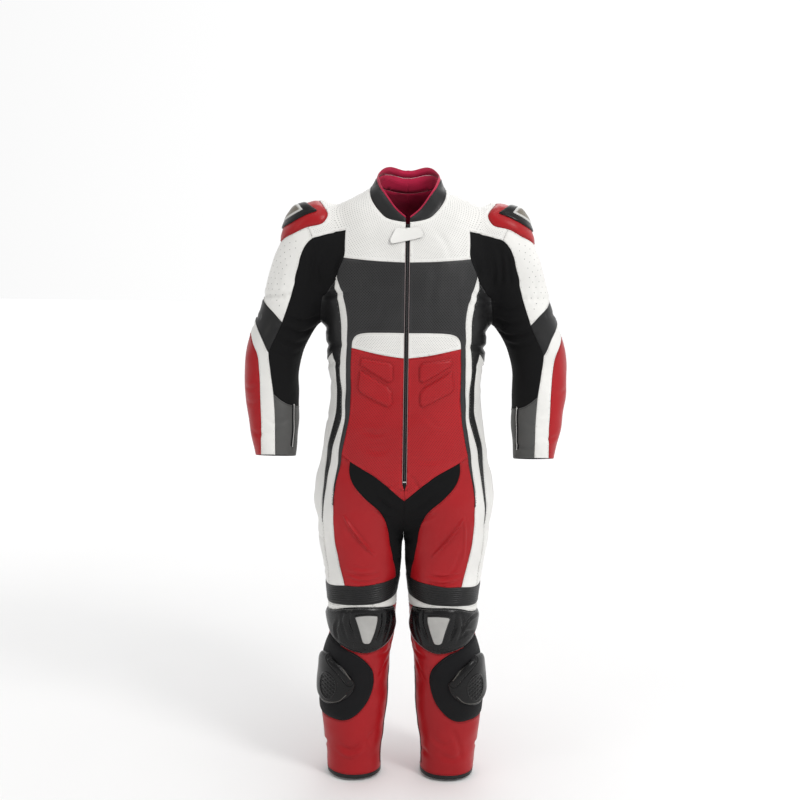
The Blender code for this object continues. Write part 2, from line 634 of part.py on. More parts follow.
def arm_net(armhole):
    net = Net(ARM)
    hole = ARM.find(armhole)
    armpit = armhole[0][2]
    hole[0] = turned(-UNDERARM, armpit, ARM)
    hole[-1] = turned(UNDERARM, armpit, ARM)
    net.add(hole, list(armhole))

    def on_armhole(level, facing):
        return ARM.find(armhole_place(armhole_angle(level, facing)))[0]

    def ahead(x, z):
        return front(x, z, ARM)

    def at(turn, level):
        return turned(turn, level, ARM)

    pad = pad_outline()
    net.seam(*pad)
    net.seam(*plate_outline())
    net.seam(ARM.find(armhole_place(SHOULDER_ANGLE))[0], pad[0])
    stretch_corner = ahead(0.207, -0.103)
    net.seam(pad[5], stretch_corner)
    net.seam(pad[11], back(0.192, -0.105, ARM), on_armhole(BACK_SLEEVE_LEVEL, 1))
    sleeve_tip = ahead(0.274, -0.287)
    net.seam(on_armhole(STRETCH_TOP_LEVEL, -1), ahead(0.190, -0.098), stretch_corner, ahead(0.222, -0.118),
             ahead(0.232, -0.140), ahead(0.238, -0.165), ahead(0.2455, -0.195), ahead(0.255, -0.232),
             ahead(0.265, -0.262), sleeve_tip)
    sleeve_back = at(105, -0.280)
    net.seam(sleeve_tip, ahead(0.297, -0.263), ahead(0.318, -0.241), at(0, -0.236), at(50, -0.250), sleeve_back)
    net.seam(on_armhole(BACK_YOKE_SIDE, 1), at(114, -0.235), sleeve_back)

    # elbow and forearm
    elbow_in = ahead(0.304, -0.354)
    white_tip = at(-4, -0.282)
    red_tip = at(20, -0.310)
    red_back = at(80, -0.372)
    elbow_back = at(105, -0.378)
    cuff_in = ahead(0.291, -0.443)
    cuff_back = at(76, -0.442)
    net.seam(sleeve_tip, ahead(0.289, -0.320), elbow_in)
    net.seam(sleeve_back, at(105, -0.330), elbow_back)
    net.seam(elbow_in, ahead(0.326, -0.312), white_tip, red_tip, at(50, -0.350), red_back, elbow_back)
    net.seam(elbow_in, ahead(0.2985, -0.395), cuff_in, ahead(0.2865, -0.500), at(-95, wrist_level(-95)))
    net.seam(red_tip, ahead(0.349, -0.318), ahead(0.333, -0.352), ahead(0.324, -0.395), ahead(0.3205, -0.445),
             ahead(0.3175, -0.515), at(-52, wrist_level(-52)))
    net.seam(red_back, cuff_back, at(72, -0.520), at(70, wrist_level(70)))
    net.seam(cuff_in, ahead(0.272, -0.459), ahead(0.254, -0.469), at(-UNDERARM, -0.476))
    net.seam(at(UNDERARM, -0.476), at(125, -0.468), cuff_back)
    net.seam(*[at(turn, wrist_level(turn)) for turn in WRIST_TURNS])
    for turn in (-UNDERARM, UNDERARM):
        net.add([at(turn, level) for level in stepped([armpit, -0.476, WRIST])])
    net.cut(MESH_STEP)
    return net


# ---------------------------------------------------------------- pieces
# piece, net, seeds: (how, a, b) with f front, b back, t turn and level, r turn and lean
PIECES = {
    "yoke": [("body", "f", 0.060, -0.120), ("arm", "f", 0.195, -0.085)],
    "chest": [("body", "f", 0.080, -0.220)],
    "belly": [("body", "f", 0.050, -0.330)],
    "abdomen": [("body", "f", 0.070, -0.450)],
    "stripe": [("body", "f", 0.149, -0.215)],
    "side": [("body", "t", 0.0, -0.300)],
    "flank": [("body", "t", 0.0, -0.600)],
    "groin": [("body", "f", 0.030, -0.705)],
    "thigh": [("body", "f", 0.100, -0.750)],
    "seat": [("body", "b", 0.080, -0.650)],
    "knee_band": [("body", "f", 0.090, -0.893)],
    "knee_wave": [("body", "f", 0.158, -0.931)],
    "knee_cup": [("body", "f", 0.150, -0.970), ("body", "f", 0.082, -0.965)],
    "slider_patch": [("body", "f", 0.082, -1.100), ("body", "f", 0.150, -1.100)],
    "shin": [("body", "f", 0.100, -1.270)],
    "hem": [("body", "f", 0.100, -1.329)],
    "sleeve": [("arm", "t", 0.0, -0.190)],
    "stretch": [("arm", "t", -150.0, -0.350), ("arm", "t", 150.0, -0.350), ("body", "f", 0.148, -0.130)],
    "elbow": [("arm", "t", 40.0, -0.290)],
    "forearm_white": [("arm", "f", 0.312, -0.420)],
    "forearm_red": [("arm", "t", 10.0, -0.420)],
    "cuff": [("arm", "t", -150.0, -0.530), ("arm", "t", 150.0, -0.530)],
    "pad": [("arm", "f", 0.262, -0.088), ("arm", "f", 0.240, -0.058)],
}
WHOLE_PIECES = {
    "collar": [("body", "r", -45.0, 56.0)],
    "collar_edge": [("body", "r", 0.0, 69.5)],
    "back_yoke": [("body", "b", 0.050, -0.120), ("arm", "b", 0.195, -0.085)],
    "back_middle": [("body", "b", 0.050, -0.350)],
}
# what lies on a piece: the piece under it, and its own seed
OVERLAYS = {
    "plate": ("pad", ("arm", "f", 0.240, -0.058)),
    "knee_shield": ("knee_cup", ("body", "f", 0.082, -0.965)),
    "slider_puck": ("slider_patch", ("body", "f", 0.150, -1.100)),
}


# raise of a padded piece above the form, and how far from its edge it is reached
PADDED = {"pad": (0.0080, 0.020), "knee_cup": (0.0065, 0.020), "slider_patch": (0.0030, 0.018),
          "knee_band": (0.0020, 0.010), "collar": (0.0010, 0.010)}
# height of a hard piece over the piece below, and of its rim
HARD = {"plate": (0.0042, 0.0022), "knee_shield": (0.0050, 0.0024), "slider_puck": (0.0120, 0.0070)}


class Suit:
    """The left half of the form as one triangle mesh, and the regions that make each piece."""

    def __init__(self):
        armhole = armhole_points()
        self.nets = {"body": body_net(armhole), "arm": arm_net(armhole)}
        pieces = {**PIECES, **WHOLE_PIECES, **{name: [seed] for name, (_, seed) in OVERLAYS.items()}}
        self.labels = {name: {(seed[0], self.region(seed)) for seed in seeds} for name, seeds in pieces.items()}
        places, faces, labels = [], [], []
        for key, net in self.nets.items():
            wanted = {region for group in self.labels.values() for chart, region in group if chart == key}
            kept = [index for index, region in enumerate(net.region) if region in wanted]
            used = sorted({int(v) for index in kept for v in net.faces[index]})
            number = {v: len(places) + i for i, v in enumerate(used)}
            spots = net.chart.place(net.flat[used])
            spots = [spot if net.place_of[v] is None else net.place_of[v] for v, spot in zip(used, spots)]
            places.extend(spots)
            faces.extend([number[int(v)] for v in net.faces[index]] for index in kept)
            labels.extend((key, net.region[index]) for index in kept)
        self.weld(np.array(places), np.array(faces))
        self.face_labels = labels
        self.open_for_zip()
        self.normals = outward(self.places)
        self.normals[np.abs(self.places[:, 0]) < 1e-9, 0] = 0.0
        self.normals /= np.linalg.norm(self.normals, axis=1)[:, None]

    def region(self, seed):
        key, how, a, b = seed
        chart = self.nets[key].chart
        find = {"f": lambda: front(a, b, chart), "b": lambda: back(a, b, chart),
                "t": lambda: chart.turn_map(a, b), "r": lambda: chart.lean_map(a, b)}
        return self.nets[key].region_at(find[how]())

    def weld(self, places, faces):
        """Joins the points that both charts, or both sides of a chart's cut, have in one place."""
        keys = {}
        number = np.empty(len(places), int)
        kept = []
        for index, key in enumerate(map(tuple, np.round(places, 6))):
            if key not in keys:
                keys[key] = len(kept)
                kept.append(places[index])
            number[index] = keys[key]
        self.places = np.array(kept)
        self.faces = number[faces]

    def open_for_zip(self):
        x, y, z = self.places.T
        x[np.abs(x) < 1e-6] = 0.0
        x[(y < 0) & (z > ZIP_BOTTOM - 0.012) & (x < ZIP_OPENING)] = ZIP_OPENING

    def faces_of(self, name):
        return self.faces[[label in self.labels[name] for label in self.face_labels]]


def border(faces):
    """The directed edges that only one face has."""
    edges = {(int(f[k]), int(f[(k + 1) % 3])) for f in faces for k in range(3)}
    return [(a, b) for a, b in sorted(edges) if (b, a) not in edges]


def drawn_in(places, normals, edges, gap):
    """The places with the border moved into the piece, square to the seam, by half its gap."""
    inward = {}
    for a, b in edges:
        along = places[b] - places[a]
        along /= np.linalg.norm(along)
        for v in (a, b):
            inward.setdefault(v, []).append(np.cross(normals[v], along))
    moved = places.copy()
    for v, ways in inward.items():
        ways = [way / np.linalg.norm(way) for way in ways]
        total = sum(ways)
        sharp = len(ways) * (1 + ways[0] @ ways[-1]) / 2
        moved[v] += 0.5 * gap * total / max(sharp, 0.35)
    return moved


def edge_distance(places, edges):
    """How far each point lies from the border, along the straight."""
    tree = KDTree(3 * len(edges))
    for index, (a, b) in enumerate(edges):
        for k, t in enumerate((0.0, 1 / 3, 2 / 3)):
            tree.insert(places[a] * (1 - t) + places[b] * t, 3 * index + k)
    tree.balance()
    return np.array([tree.find(place)[2] for place in places])


def mirror_joined(places, normals, faces):
    """A half piece and its mirror image, sharing the points on the centre line."""
    count = len(places)
    twin = {}
    more_places, more_normals = [], []
    for v in range(count):
        if abs(places[v][0]) < 1e-9:
            twin[v] = v
        else:
            twin[v] = count + len(more_places)
            more_places.append(places[v] * (-1, 1, 1))
            more_normals.append(normals[v] * (-1, 1, 1))
    mirrored = [[twin[int(v)] for v in face[::-1]] for face in faces]
    return np.vstack([places, more_places]), np.vstack([normals, more_normals]), np.vstack([faces, mirrored])


def local(suit, name, whole=False):
    """A piece's own points, outward directions and faces."""
    faces = suit.faces_of(name)
    used = np.unique(faces)
    number = np.full(len(suit.places), -1)
    number[used] = np.arange(len(used))
    places, normals, faces = suit.places[used], suit.normals[used], number[faces]
    if whole:
        return mirror_joined(places, normals, faces)
    return places, normals, faces


def order_key(place):
    """The same for a place and its mirror image, so that both sides of a seam are split alike."""
    return abs(place[0]), place[1], place[2]


def shell(places, normals, faces, top, bottom, gap=SEAM_GAP):
    """A closed wall between two heights over the form, with its border drawn in."""
    edges = border(faces)
    spots = drawn_in(places, normals, edges, gap)
    count = len(places)
    points = np.vstack([spots + normals * np.reshape(top, (-1, 1)), spots + normals * np.reshape(bottom, (-1, 1))])
    solid = [tuple(map(int, face)) for face in faces]
    solid += [tuple(int(v) + count for v in face[::-1]) for face in faces]
    for a, b in edges:
        if order_key(places[a]) < order_key(places[b]):
            solid += [(b, a, a + count), (b, a + count, b + count)]
        else:
            solid += [(b, a, b + count), (a, a + count, b + count)]
    return points, solid


def padded_height(name, places, faces):
    if name not in PADDED:
        return np.zeros(len(places))
    height, width = PADDED[name]
    reach = np.clip(edge_distance(places, border(faces)) / width, 0, 1)
    return height * reach * (2 - reach)


# ---------------------------------------------------------------- materials
# base colour, roughness and metallic value
FINISHES = {
    "white_leather": ((0.80, 0.79, 0.78), 0.50, 0.0),
    "black_leather": ((0.018, 0.018, 0.020), 0.48, 0.0),
    "red_leather": ((0.50, 0.012, 0.020), 0.45, 0.0),
    "black_stretch": ((0.010, 0.010, 0.012), 0.80, 0.0),
    "crimson_lining": ((0.42, 0.01, 0.05), 0.70, 0.0),
    "silver_shield": ((0.62, 0.62, 0.63), 0.35, 0.3),
    "black_plastic": ((0.015, 0.015, 0.016), 0.35, 0.0),
    "zip_black": ((0.012, 0.012, 0.013), 0.55, 0.0),
    "zip_metal": ((0.60, 0.60, 0.60), 0.30, 1.0),
}
FINISH_OF = {
    "yoke": "white_leather", "chest": "black_leather", "belly": "white_leather", "abdomen": "red_leather",
    "stripe": "white_leather", "side": "black_leather", "flank": "white_leather", "groin": "black_stretch",
    "thigh": "red_leather", "seat": "black_leather", "knee_band": "black_leather",
    "knee_wave": "white_leather", "knee_cup": "black_leather", "slider_patch": "black_leather",
    "shin": "red_leather", "hem": "black_leather", "sleeve": "white_leather", "stretch": "black_stretch",
    "elbow": "black_leather", "forearm_white": "white_leather", "forearm_red": "red_leather",
    "cuff": "black_leather", "pad": "red_leather", "collar": "black_leather",
    "collar_edge": "crimson_lining", "back_yoke": "white_leather", "back_middle": "red_leather",
    "plate": "black_plastic", "knee_shield": "silver_shield", "slider_puck": "black_plastic",
    "zip": "zip_black", "zip_end": "zip_metal", "neck_tab": "white_leather",
}


def finish(name):
    material = bpy.data.materials.get(name)
    if material:
        return material
    colour, roughness, metallic = FINISHES[name]
    material = bpy.data.materials.new(name)
    material.use_nodes = True
    shader = material.node_tree.nodes["Principled BSDF"]
    shader.inputs["Base Color"].default_value = (*colour, 1.0)
    shader.inputs["Roughness"].default_value = roughness
    shader.inputs["Metallic"].default_value = metallic
    material.diffuse_color = (*colour, 1.0)
    return material


def place_object(name, points, faces, kind, collection):
    mesh = bpy.data.meshes.new(name)
    mesh.from_pydata([tuple(p) for p in points], [], faces)
    mesh.validate()
    mesh.materials.append(finish(FINISH_OF[kind]))
    mesh.shade_smooth()
    mesh.set_sharp_from_angle(angle=math.radians(40))
    item = bpy.data.objects.new(name, mesh)
    collection.objects.link(item)
    return item


def place_pair(kind, points, faces, collection):
    """A piece on the wearer's left, and its mirror image on the right."""
    place_object(f"{kind}_left", points, faces, kind, collection)
    place_object(f"{kind}_right", points * (-1, 1, 1), [face[::-1] for face in faces], kind, collection)


# ---------------------------------------------------------------- pieces that close the front
def build_zip(collection):
    """The zip: one strip with its teeth closed, in the gap between the two fronts."""
    rise, depth = 0.0008, 0.0014
    levels = stepped([ZIP_TOP, YOKE_LEVEL, BELLY_TOP, BELLY_BOTTOM, ZIP_BOTTOM])
    spine = np.array([on_view(0.0, level, -1)[0] for level in levels])
    normals = outward(spine)
    rings = []
    for place, normal in zip(spine, normals):
        for side, height in ((-1, rise), (1, rise), (1, -depth), (-1, -depth)):
            rings.append(place + normal * height + np.array((side * ZIP_HALF_WIDTH, 0, 0)))
    faces = [(3, 2, 1, 0), tuple(len(rings) - 4 + k for k in range(4))]
    for row in range(len(levels) - 1):
        for k in range(4):
            a, b = 4 * row + k, 4 * row + (k + 1) % 4
            faces.append((a, b, b + 4, a + 4))
    faces = [face[::-1] for face in faces]
    place_object("zip", np.array(rings), faces, "zip", collection)


def build_zip_end(collection):
    """The metal stop across the zip's lower end."""
    length, width, height = 0.0076, 0.0028, 0.0016
    spot = on_view(0.0, ZIP_BOTTOM + 0.006, -1)[0]
    normal = outward(spot[None])[0]
    bpy.ops.mesh.primitive_cube_add(size=1)
    stop = bpy.context.object
    stop.name = stop.data.name = "zip_end"
    stop.dimensions = (length, height, width)
    stop.location = spot + normal * (0.0008 + 2 * SEAM_GAP + height / 2)
    stop.rotation_euler = (math.atan2(-normal[2], -normal[1]), 0, 0)
    bpy.context.view_layer.update()
    bpy.ops.object.transform_apply(location=False, rotation=False, scale=True)
    stop.data.materials.append(finish(FINISH_OF["zip_end"]))
    for holder in list(stop.users_collection):
        holder.objects.unlink(stop)
    collection.objects.link(stop)


def build_tab(collection):
    """The leather tab that covers the zip's top end, flat over both yokes."""
    lift, thickness, step = 0.0016, 0.0020, 0.015
    outline = [(-0.026, -0.081), (-0.033, -0.096), (-0.038, -0.108), (-0.031, -0.114), (0.000, -0.107),
               (0.033, -0.099), (0.030, -0.088), (0.026, -0.078), (0.000, -0.0795), (-0.026, -0.081)]
    rim = [outline[0]]
    for a, b in zip(outline, outline[1:]):
        pieces = max(1, round(math.dist(a, b) / step))
        rim += [(a[0] + (b[0] - a[0]) * k / pieces, a[1] + (b[1] - a[1]) * k / pieces)
                for k in range(1, pieces + 1)]
    rim = rim[:-1]
    inner = [(x, -0.094 + 0.06 * abs(x)) for x in (-0.020, -0.006, 0.008, 0.020)]
    points = [Vector(p) for p in rim + inner]
    edges = [(k, (k + 1) % len(rim)) for k in range(len(rim))]
    maps, _, faces, *_ = delaunay_2d_cdt(points, edges, [tuple(range(len(rim)))], 1, 1e-6)
    places = np.vstack([on_view(float(p[0]), float(p[1]), -1) for p in maps])
    faces = np.array(faces)
    places, solid = shell(places, outward(places), faces, lift + thickness, lift)
    place_object("neck_tab", places, solid, "neck_tab", collection)


# ---------------------------------------------------------------- the suit
def build():
    for old in list(bpy.data.objects):
        bpy.data.objects.remove(old, do_unlink=True)
    collection = bpy.data.collections.new("motorcycle_race_suit")
    bpy.context.scene.collection.children.link(collection)

    suit = Suit()
    for name in PIECES:
        places, normals, faces = local(suit, name)
        top = padded_height(name, places, faces)
        place_pair(name, *shell(places, normals, faces, top, np.full(len(places), -LEATHER)), collection)
    for name in WHOLE_PIECES:
        places, normals, faces = local(suit, name, whole=True)
        top = padded_height(name, places, faces)
        points, solid = shell(places, normals, faces, top, np.full(len(places), -LEATHER))
        place_object(name, points, solid, name, collection)
    for name, (under, _) in OVERLAYS.items():
        base_places, _, base_faces = local(suit, under)
        places, normals, faces = local(suit, name)
        base = dict(zip(map(tuple, base_places), padded_height(under, base_places, base_faces)))
        bottom = np.array([base[tuple(place)] for place in places]) + SEAM_GAP
        middle, rim = HARD[name]
        inside = edge_distance(places, border(faces)) > 1e-6
        top = bottom + np.where(inside, middle, rim)
        place_pair(name, *shell(places, normals, faces, top, bottom), collection)
    build_zip(collection)
    build_zip_end(collection)
    build_tab(collection)


build()
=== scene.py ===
"""Motorcycle race suit: its looks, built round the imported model.

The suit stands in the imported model's frame. +Z is up, the front faces -Y and +X is the wearer's left.
Lengths are in metres and angles in degrees.

Every cut piece of leather or stretch cloth is a thin shell with rolled seam edges, folds and stitching,
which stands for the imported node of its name. The form and the seam lines are those of the pattern: level
sections give the outer form, and the seams drawn on its flat charts cut it into pieces. The left half is
worked out and mirrored, and each side then has its own folds.
"""
import math
from functools import lru_cache

import bpy
import numpy as np
from mathutils import Matrix, Vector
from mathutils.geometry import delaunay_2d_cdt
from mathutils.kdtree import KDTree


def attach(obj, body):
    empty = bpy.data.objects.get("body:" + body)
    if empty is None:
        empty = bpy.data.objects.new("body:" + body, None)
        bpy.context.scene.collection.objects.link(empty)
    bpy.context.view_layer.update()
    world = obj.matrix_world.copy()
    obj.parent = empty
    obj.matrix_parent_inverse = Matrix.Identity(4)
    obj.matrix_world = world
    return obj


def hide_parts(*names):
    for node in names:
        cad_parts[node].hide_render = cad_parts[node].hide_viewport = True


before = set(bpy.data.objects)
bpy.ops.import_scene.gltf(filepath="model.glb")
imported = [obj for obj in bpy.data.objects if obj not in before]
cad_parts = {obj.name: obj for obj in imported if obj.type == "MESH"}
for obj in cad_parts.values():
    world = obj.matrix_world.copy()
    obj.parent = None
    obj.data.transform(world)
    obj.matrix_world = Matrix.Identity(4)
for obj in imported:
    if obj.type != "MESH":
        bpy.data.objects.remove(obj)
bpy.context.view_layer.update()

# ---------------------------------------------------------------- driving sizes
LEATHER = 0.0020            # wall of every sewn piece
SEAM_GAP = 0.0003           # between two pieces at a seam, and under what lies on a panel
MESH_STEP = 0.0048          # size of a facet
FINE_STEP = 0.0036          # where the surface has more detail
SEAM_STEP = 0.0050          # longest straight stretch of a seam
GRID_CLEARANCE = 0.62       # share of a facet that a panel's own points keep from its seams
WRIST = -0.585              # level of the sleeve's end
WRIST_SLOPE = 0.009
WRIST_TURNS = (-180, -150, -120, -95, -74, -52, -20, 10, 40, 70, 105, 140, 180)
HEM = -1.336                # level of the leg's end
ZIP_TOP = -0.070
ZIP_BOTTOM = -0.636
ZIP_HALF_WIDTH = 0.0042
ZIP_OPENING = 0.0046        # half the gap between the two fronts where the zip lies
CROTCH_AXIS = -0.600        # level from which the centre line is drawn round the crotch
UNDERARM = 180.0            # turn of the sleeve's seam, which faces the body
INSEAM = 180.0              # turn of the leg's inner seam

# ---------------------------------------------------------------- level sections of the outer form
# level, centre_x, centre_y, half_width, front_depth, back_depth
TORSO = np.array([
    (0.100, 0.000, 0.010, 0.068, 0.060, 0.062),      # inside the collar
    (0.030, 0.000, 0.010, 0.072, 0.066, 0.062),      # neck
    (0.010, 0.000, 0.010, 0.084, 0.070, 0.066),
    (-0.010, 0.000, 0.010, 0.122, 0.076, 0.078),
    (-0.030, 0.000, 0.010, 0.160, 0.084, 0.092),     # slope of the shoulder
    (-0.060, 0.000, 0.010, 0.182, 0.096, 0.104),
    (-0.100, 0.000, 0.010, 0.188, 0.112, 0.112),
    (-0.160, 0.000, 0.010, 0.190, 0.128, 0.118),     # chest
    (-0.230, 0.000, 0.008, 0.188, 0.132, 0.116),
    (-0.300, 0.000, 0.004, 0.182, 0.126, 0.110),
    (-0.360, 0.000, 0.000, 0.177, 0.120, 0.104),
    (-0.450, 0.000, 0.000, 0.169, 0.118, 0.098),     # waist
    (-0.520, 0.000, 0.002, 0.179, 0.122, 0.104),
    (-0.600, 0.000, 0.006, 0.190, 0.122, 0.120),
    (-0.660, 0.000, 0.010, 0.196, 0.116, 0.132),     # hip
    (-0.700, 0.000, 0.012, 0.192, 0.100, 0.130),
    (-0.730, 0.000, 0.012, 0.170, 0.076, 0.108),
    (-0.750, 0.000, 0.012, 0.120, 0.050, 0.074),
    (-0.765, 0.000, 0.012, 0.050, 0.020, 0.030),     # underside of the crotch
])
LEG = np.array([
    (-0.540, 0.090, 0.010, 0.030, 0.030, 0.030),     # inside the hip
    (-0.620, 0.100, 0.010, 0.080, 0.096, 0.100),
    (-0.680, 0.102, 0.010, 0.095, 0.112, 0.122),
    (-0.740, 0.100, 0.008, 0.096, 0.110, 0.118),
    (-0.790, 0.098, 0.006, 0.095, 0.104, 0.108),     # thigh
    (-0.835, 0.094, 0.004, 0.090, 0.098, 0.100),
    (-0.885, 0.094, 0.002, 0.083, 0.092, 0.092),
    (-0.955, 0.093, -0.002, 0.077, 0.084, 0.080),    # knee
    (-1.003, 0.094, -0.004, 0.075, 0.080, 0.074),
    (-1.050, 0.103, -0.002, 0.076, 0.076, 0.076),
    (-1.110, 0.108, 0.004, 0.078, 0.074, 0.084),     # calf
    (-1.170, 0.110, 0.008, 0.078, 0.072, 0.084),
    (-1.230, 0.111, 0.008, 0.071, 0.068, 0.076),
    (-1.290, 0.110, 0.006, 0.064, 0.064, 0.068),
    (-1.340, 0.108, 0.004, 0.062, 0.064, 0.064),     # ankle
    (-1.400, 0.107, 0.004, 0.061, 0.064, 0.064),
])
SLEEVE = np.array([
    (-0.018, 0.190, 0.010, 0.006, 0.008, 0.008),     # crown of the shoulder
    (-0.026, 0.196, 0.010, 0.020, 0.026, 0.026),
    (-0.034, 0.202, 0.010, 0.038, 0.044, 0.044),
    (-0.050, 0.204, 0.010, 0.053, 0.058, 0.060),     # shoulder
    (-0.075, 0.206, 0.010, 0.064, 0.070, 0.072),
    (-0.105, 0.210, 0.010, 0.071, 0.078, 0.080),
    (-0.150, 0.224, 0.012, 0.076, 0.082, 0.082),
    (-0.200, 0.241, 0.014, 0.073, 0.078, 0.078),     # upper arm
    (-0.250, 0.258, 0.016, 0.069, 0.074, 0.074),
    (-0.300, 0.277, 0.018, 0.069, 0.072, 0.072),     # elbow
    (-0.350, 0.296, 0.012, 0.065, 0.068, 0.070),
    (-0.400, 0.302, 0.000, 0.061, 0.066, 0.066),     # forearm
    (-0.450, 0.300, -0.014, 0.060, 0.062, 0.060),
    (-0.500, 0.295, -0.028, 0.057, 0.056, 0.056),
    (-0.550, 0.291, -0.040, 0.050, 0.050, 0.050),
    (-0.600, 0.287, -0.050, 0.043, 0.044, 0.044),    # wrist
    (-0.640, 0.284, -0.056, 0.041, 0.042, 0.042),
])
TORSO_SQUARENESS = 2.3      # 2 is an ellipse, more is squarer
LIMB_SQUARENESS = 2.1
HIP_BLEND = 0.030           # width of the soft joins between the tubes
SHOULDER_BLEND = 0.035
SLOPE_REACH = 0.004         # how far either side of a point the form's direction is read

# turn round the neck from the wearer's left side, and rise of the ray from the chest, in degrees
NECK_RING = [(-90, 40.6), (-66, 41.6), (-55, 45.0), (-44, 50.0), (-23, 59.5), (0, 62.5), (50, 65.2),
             (90, 66.0)]
COLLAR_RING = [(-90, 44.5), (-75, 50.0), (-57, 58.0), (-34, 64.5), (-12, 68.0), (20, 69.8), (55, 71.4),
               (90, 72.0)]
EDGE_RISE = 1.6             # the lining edge shows this much above the collar

# the armhole lies near a plane across the arm: how far up it, -1 at the armpit and 1 on the shoulder, and x
ARMHOLE = np.array([(-1.0, 0.193), (-0.7, 0.180), (0.0, 0.168), (0.75, 0.160), (1.0, 0.158)])
ARMHOLE_CENTRE = (0.010, -0.140)    # y, z


# ---------------------------------------------------------------- the outer form
def through(xs, ys, x):
    """The smooth curve through the points (xs, ys), with xs rising, held level past its ends.

    ys may have several columns, which are read together.
    """
    slope = np.gradient(ys, xs, axis=0)
    i = np.clip(np.searchsorted(xs, x) - 1, 0, len(xs) - 2)
    span = xs[i + 1] - xs[i]
    t = np.clip((x - xs[i]) / span, 0.0, 1.0)
    if ys.ndim > 1:
        span = span[:, None]
        t = t[:, None]
    start = (2 * t**3 - 3 * t**2 + 1) * ys[i] + (t**3 - 2 * t**2 + t) * span * slope[i]
    end = (3 * t**2 - 2 * t**3) * ys[i + 1] + (t**3 - t**2) * span * slope[i + 1]
    return start + end


def tube(table, squareness, points):
    """How far each point lies outside a tube of level sections, and below zero inside it."""
    centre_x, centre_y, half, front, back = through(table[::-1, 0], table[::-1, 1:], points[:, 2]).T
    across = np.abs(points[:, 0] - centre_x) / half
    along = points[:, 1] - centre_y
    along = np.abs(along) / np.where(along < 0, front, back)
    radius = (across**squareness + along**squareness) ** (1 / squareness)
    wall = (radius - 1) * np.minimum(half, 0.5 * (front + back))
    ends = np.maximum(points[:, 2] - table[0, 0], table[-1, 0] - points[:, 2])
    return np.maximum(wall, ends)


def soft_union(a, b, width):
    overlap = np.maximum(width - np.abs(a - b), 0) / width
    return np.minimum(a, b) - overlap**2 * width / 4


def form(points):
    """Below zero inside the suit's outer surface, zero on it and above zero outside."""
    mirrored = points.copy()
    mirrored[:, 0] = np.abs(mirrored[:, 0])
    torso = tube(TORSO, TORSO_SQUARENESS, mirrored)
    leg, sleeve = (tube(table, LIMB_SQUARENESS, mirrored) for table in (LEG, SLEEVE))
    return soft_union(soft_union(torso, leg, HIP_BLEND), sleeve, SHOULDER_BLEND)


def first_wall(starts, directions, reach=0.40, steps=48, halvings=22):
    """Where each ray from inside first leaves the form."""
    near = np.zeros(len(starts))
    far = np.full(len(starts), reach)
    found = np.zeros(len(starts), bool)
    for step in range(1, steps + 1):
        distance = reach * step / steps
        outside = (form(starts + directions * distance) > 0) & ~found
        far[outside] = distance
        found |= outside
        near[~found] = distance
    # the gap between the legs can be thinner than a step, so the middle plane is tried too
    with np.errstate(divide="ignore", invalid="ignore"):
        crossing = np.where(starts[:, 0] > 1e-6, -starts[:, 0] / directions[:, 0], -1.0)
    tried = (crossing > 0) & (crossing < far)
    at_plane = starts + directions * np.where(tried, crossing, 0.0)[:, None]
    tried &= form(at_plane) > 0
    far = np.where(tried, crossing, far)
    near = np.where(tried, np.minimum(near, np.floor(crossing * steps / reach) * reach / steps), near)
    for _ in range(halvings):
        middle = 0.5 * (near + far)
        outside = form(starts + directions * middle[:, None]) > 0
        far = np.where(outside, middle, far)
        near = np.where(outside, near, middle)
    return starts + directions * far[:, None]


def unit(vectors):
    return vectors / np.linalg.norm(vectors, axis=1)[:, None]


def outward(points):
    """The form's outward direction at each point."""
    slope = np.empty_like(points)
    for axis in range(3):
        shift = np.zeros(3)
        shift[axis] = SLOPE_REACH
        slope[:, axis] = form(points + shift) - form(points - shift)
    return unit(slope)


def tree_of(points):
    """A search tree of the points."""
    tree = KDTree(len(points))
    for index, point in enumerate(points):
        tree.insert(point, index)
    tree.balance()
    return tree


# ---------------------------------------------------------------- charts: flat maps of the form
class Chart:
    """A flat map of a tube: a map point is (turn * girth, height).

    The turn goes round the tube's axis from its +X side, and the girth is the tube's mean radius there.
    The height is the level up to the top level. Above it the chart leans over, and the height grows with
    the lean.
    """

    LEAN_RADIUS = 0.150

    def __init__(self, axis, top_level, girth):
        self.axis = np.array(axis)          # level, centre_x, centre_y, rising
        self.top_level = top_level
        self.girth_rows = np.array(girth)   # height, mean radius, rising

    def centre(self, level):
        level = np.minimum(level, self.top_level)
        middle = through(self.axis[:, 0], self.axis[:, 1:], level)
        return np.column_stack([middle, level])

    def girth(self, height):
        return through(self.girth_rows[:, 0], self.girth_rows[:, 1], height)

    def turn_map(self, turn, height):
        """The map point at a turn in degrees and a height."""
        return np.stack([np.radians(turn) * self.girth(height), np.asarray(height, float)], axis=-1)

    def lean_map(self, turn, lean):
        return self.turn_map(np.asarray(turn, float), self.top_level + self.LEAN_RADIUS * np.radians(lean))

    def find(self, points):
        """The map points of places on the form."""
        centre = self.centre(points[:, 2])
        turn, lean = self.turn_and_lean(points - centre, points)
        leaning = self.top_level + self.LEAN_RADIUS * lean
        height = np.where(points[:, 2] > self.top_level, leaning, points[:, 2])
        return self.turn_map(np.degrees(turn), height)

    def place(self, maps):
        """The places on the form of map points."""
        height = maps[:, 1]
        turn = maps[:, 0] / self.girth(height)
        lean = np.maximum(height - self.top_level, 0) / self.LEAN_RADIUS
        return first_wall(*self.rays(turn, lean, self.centre(height)))


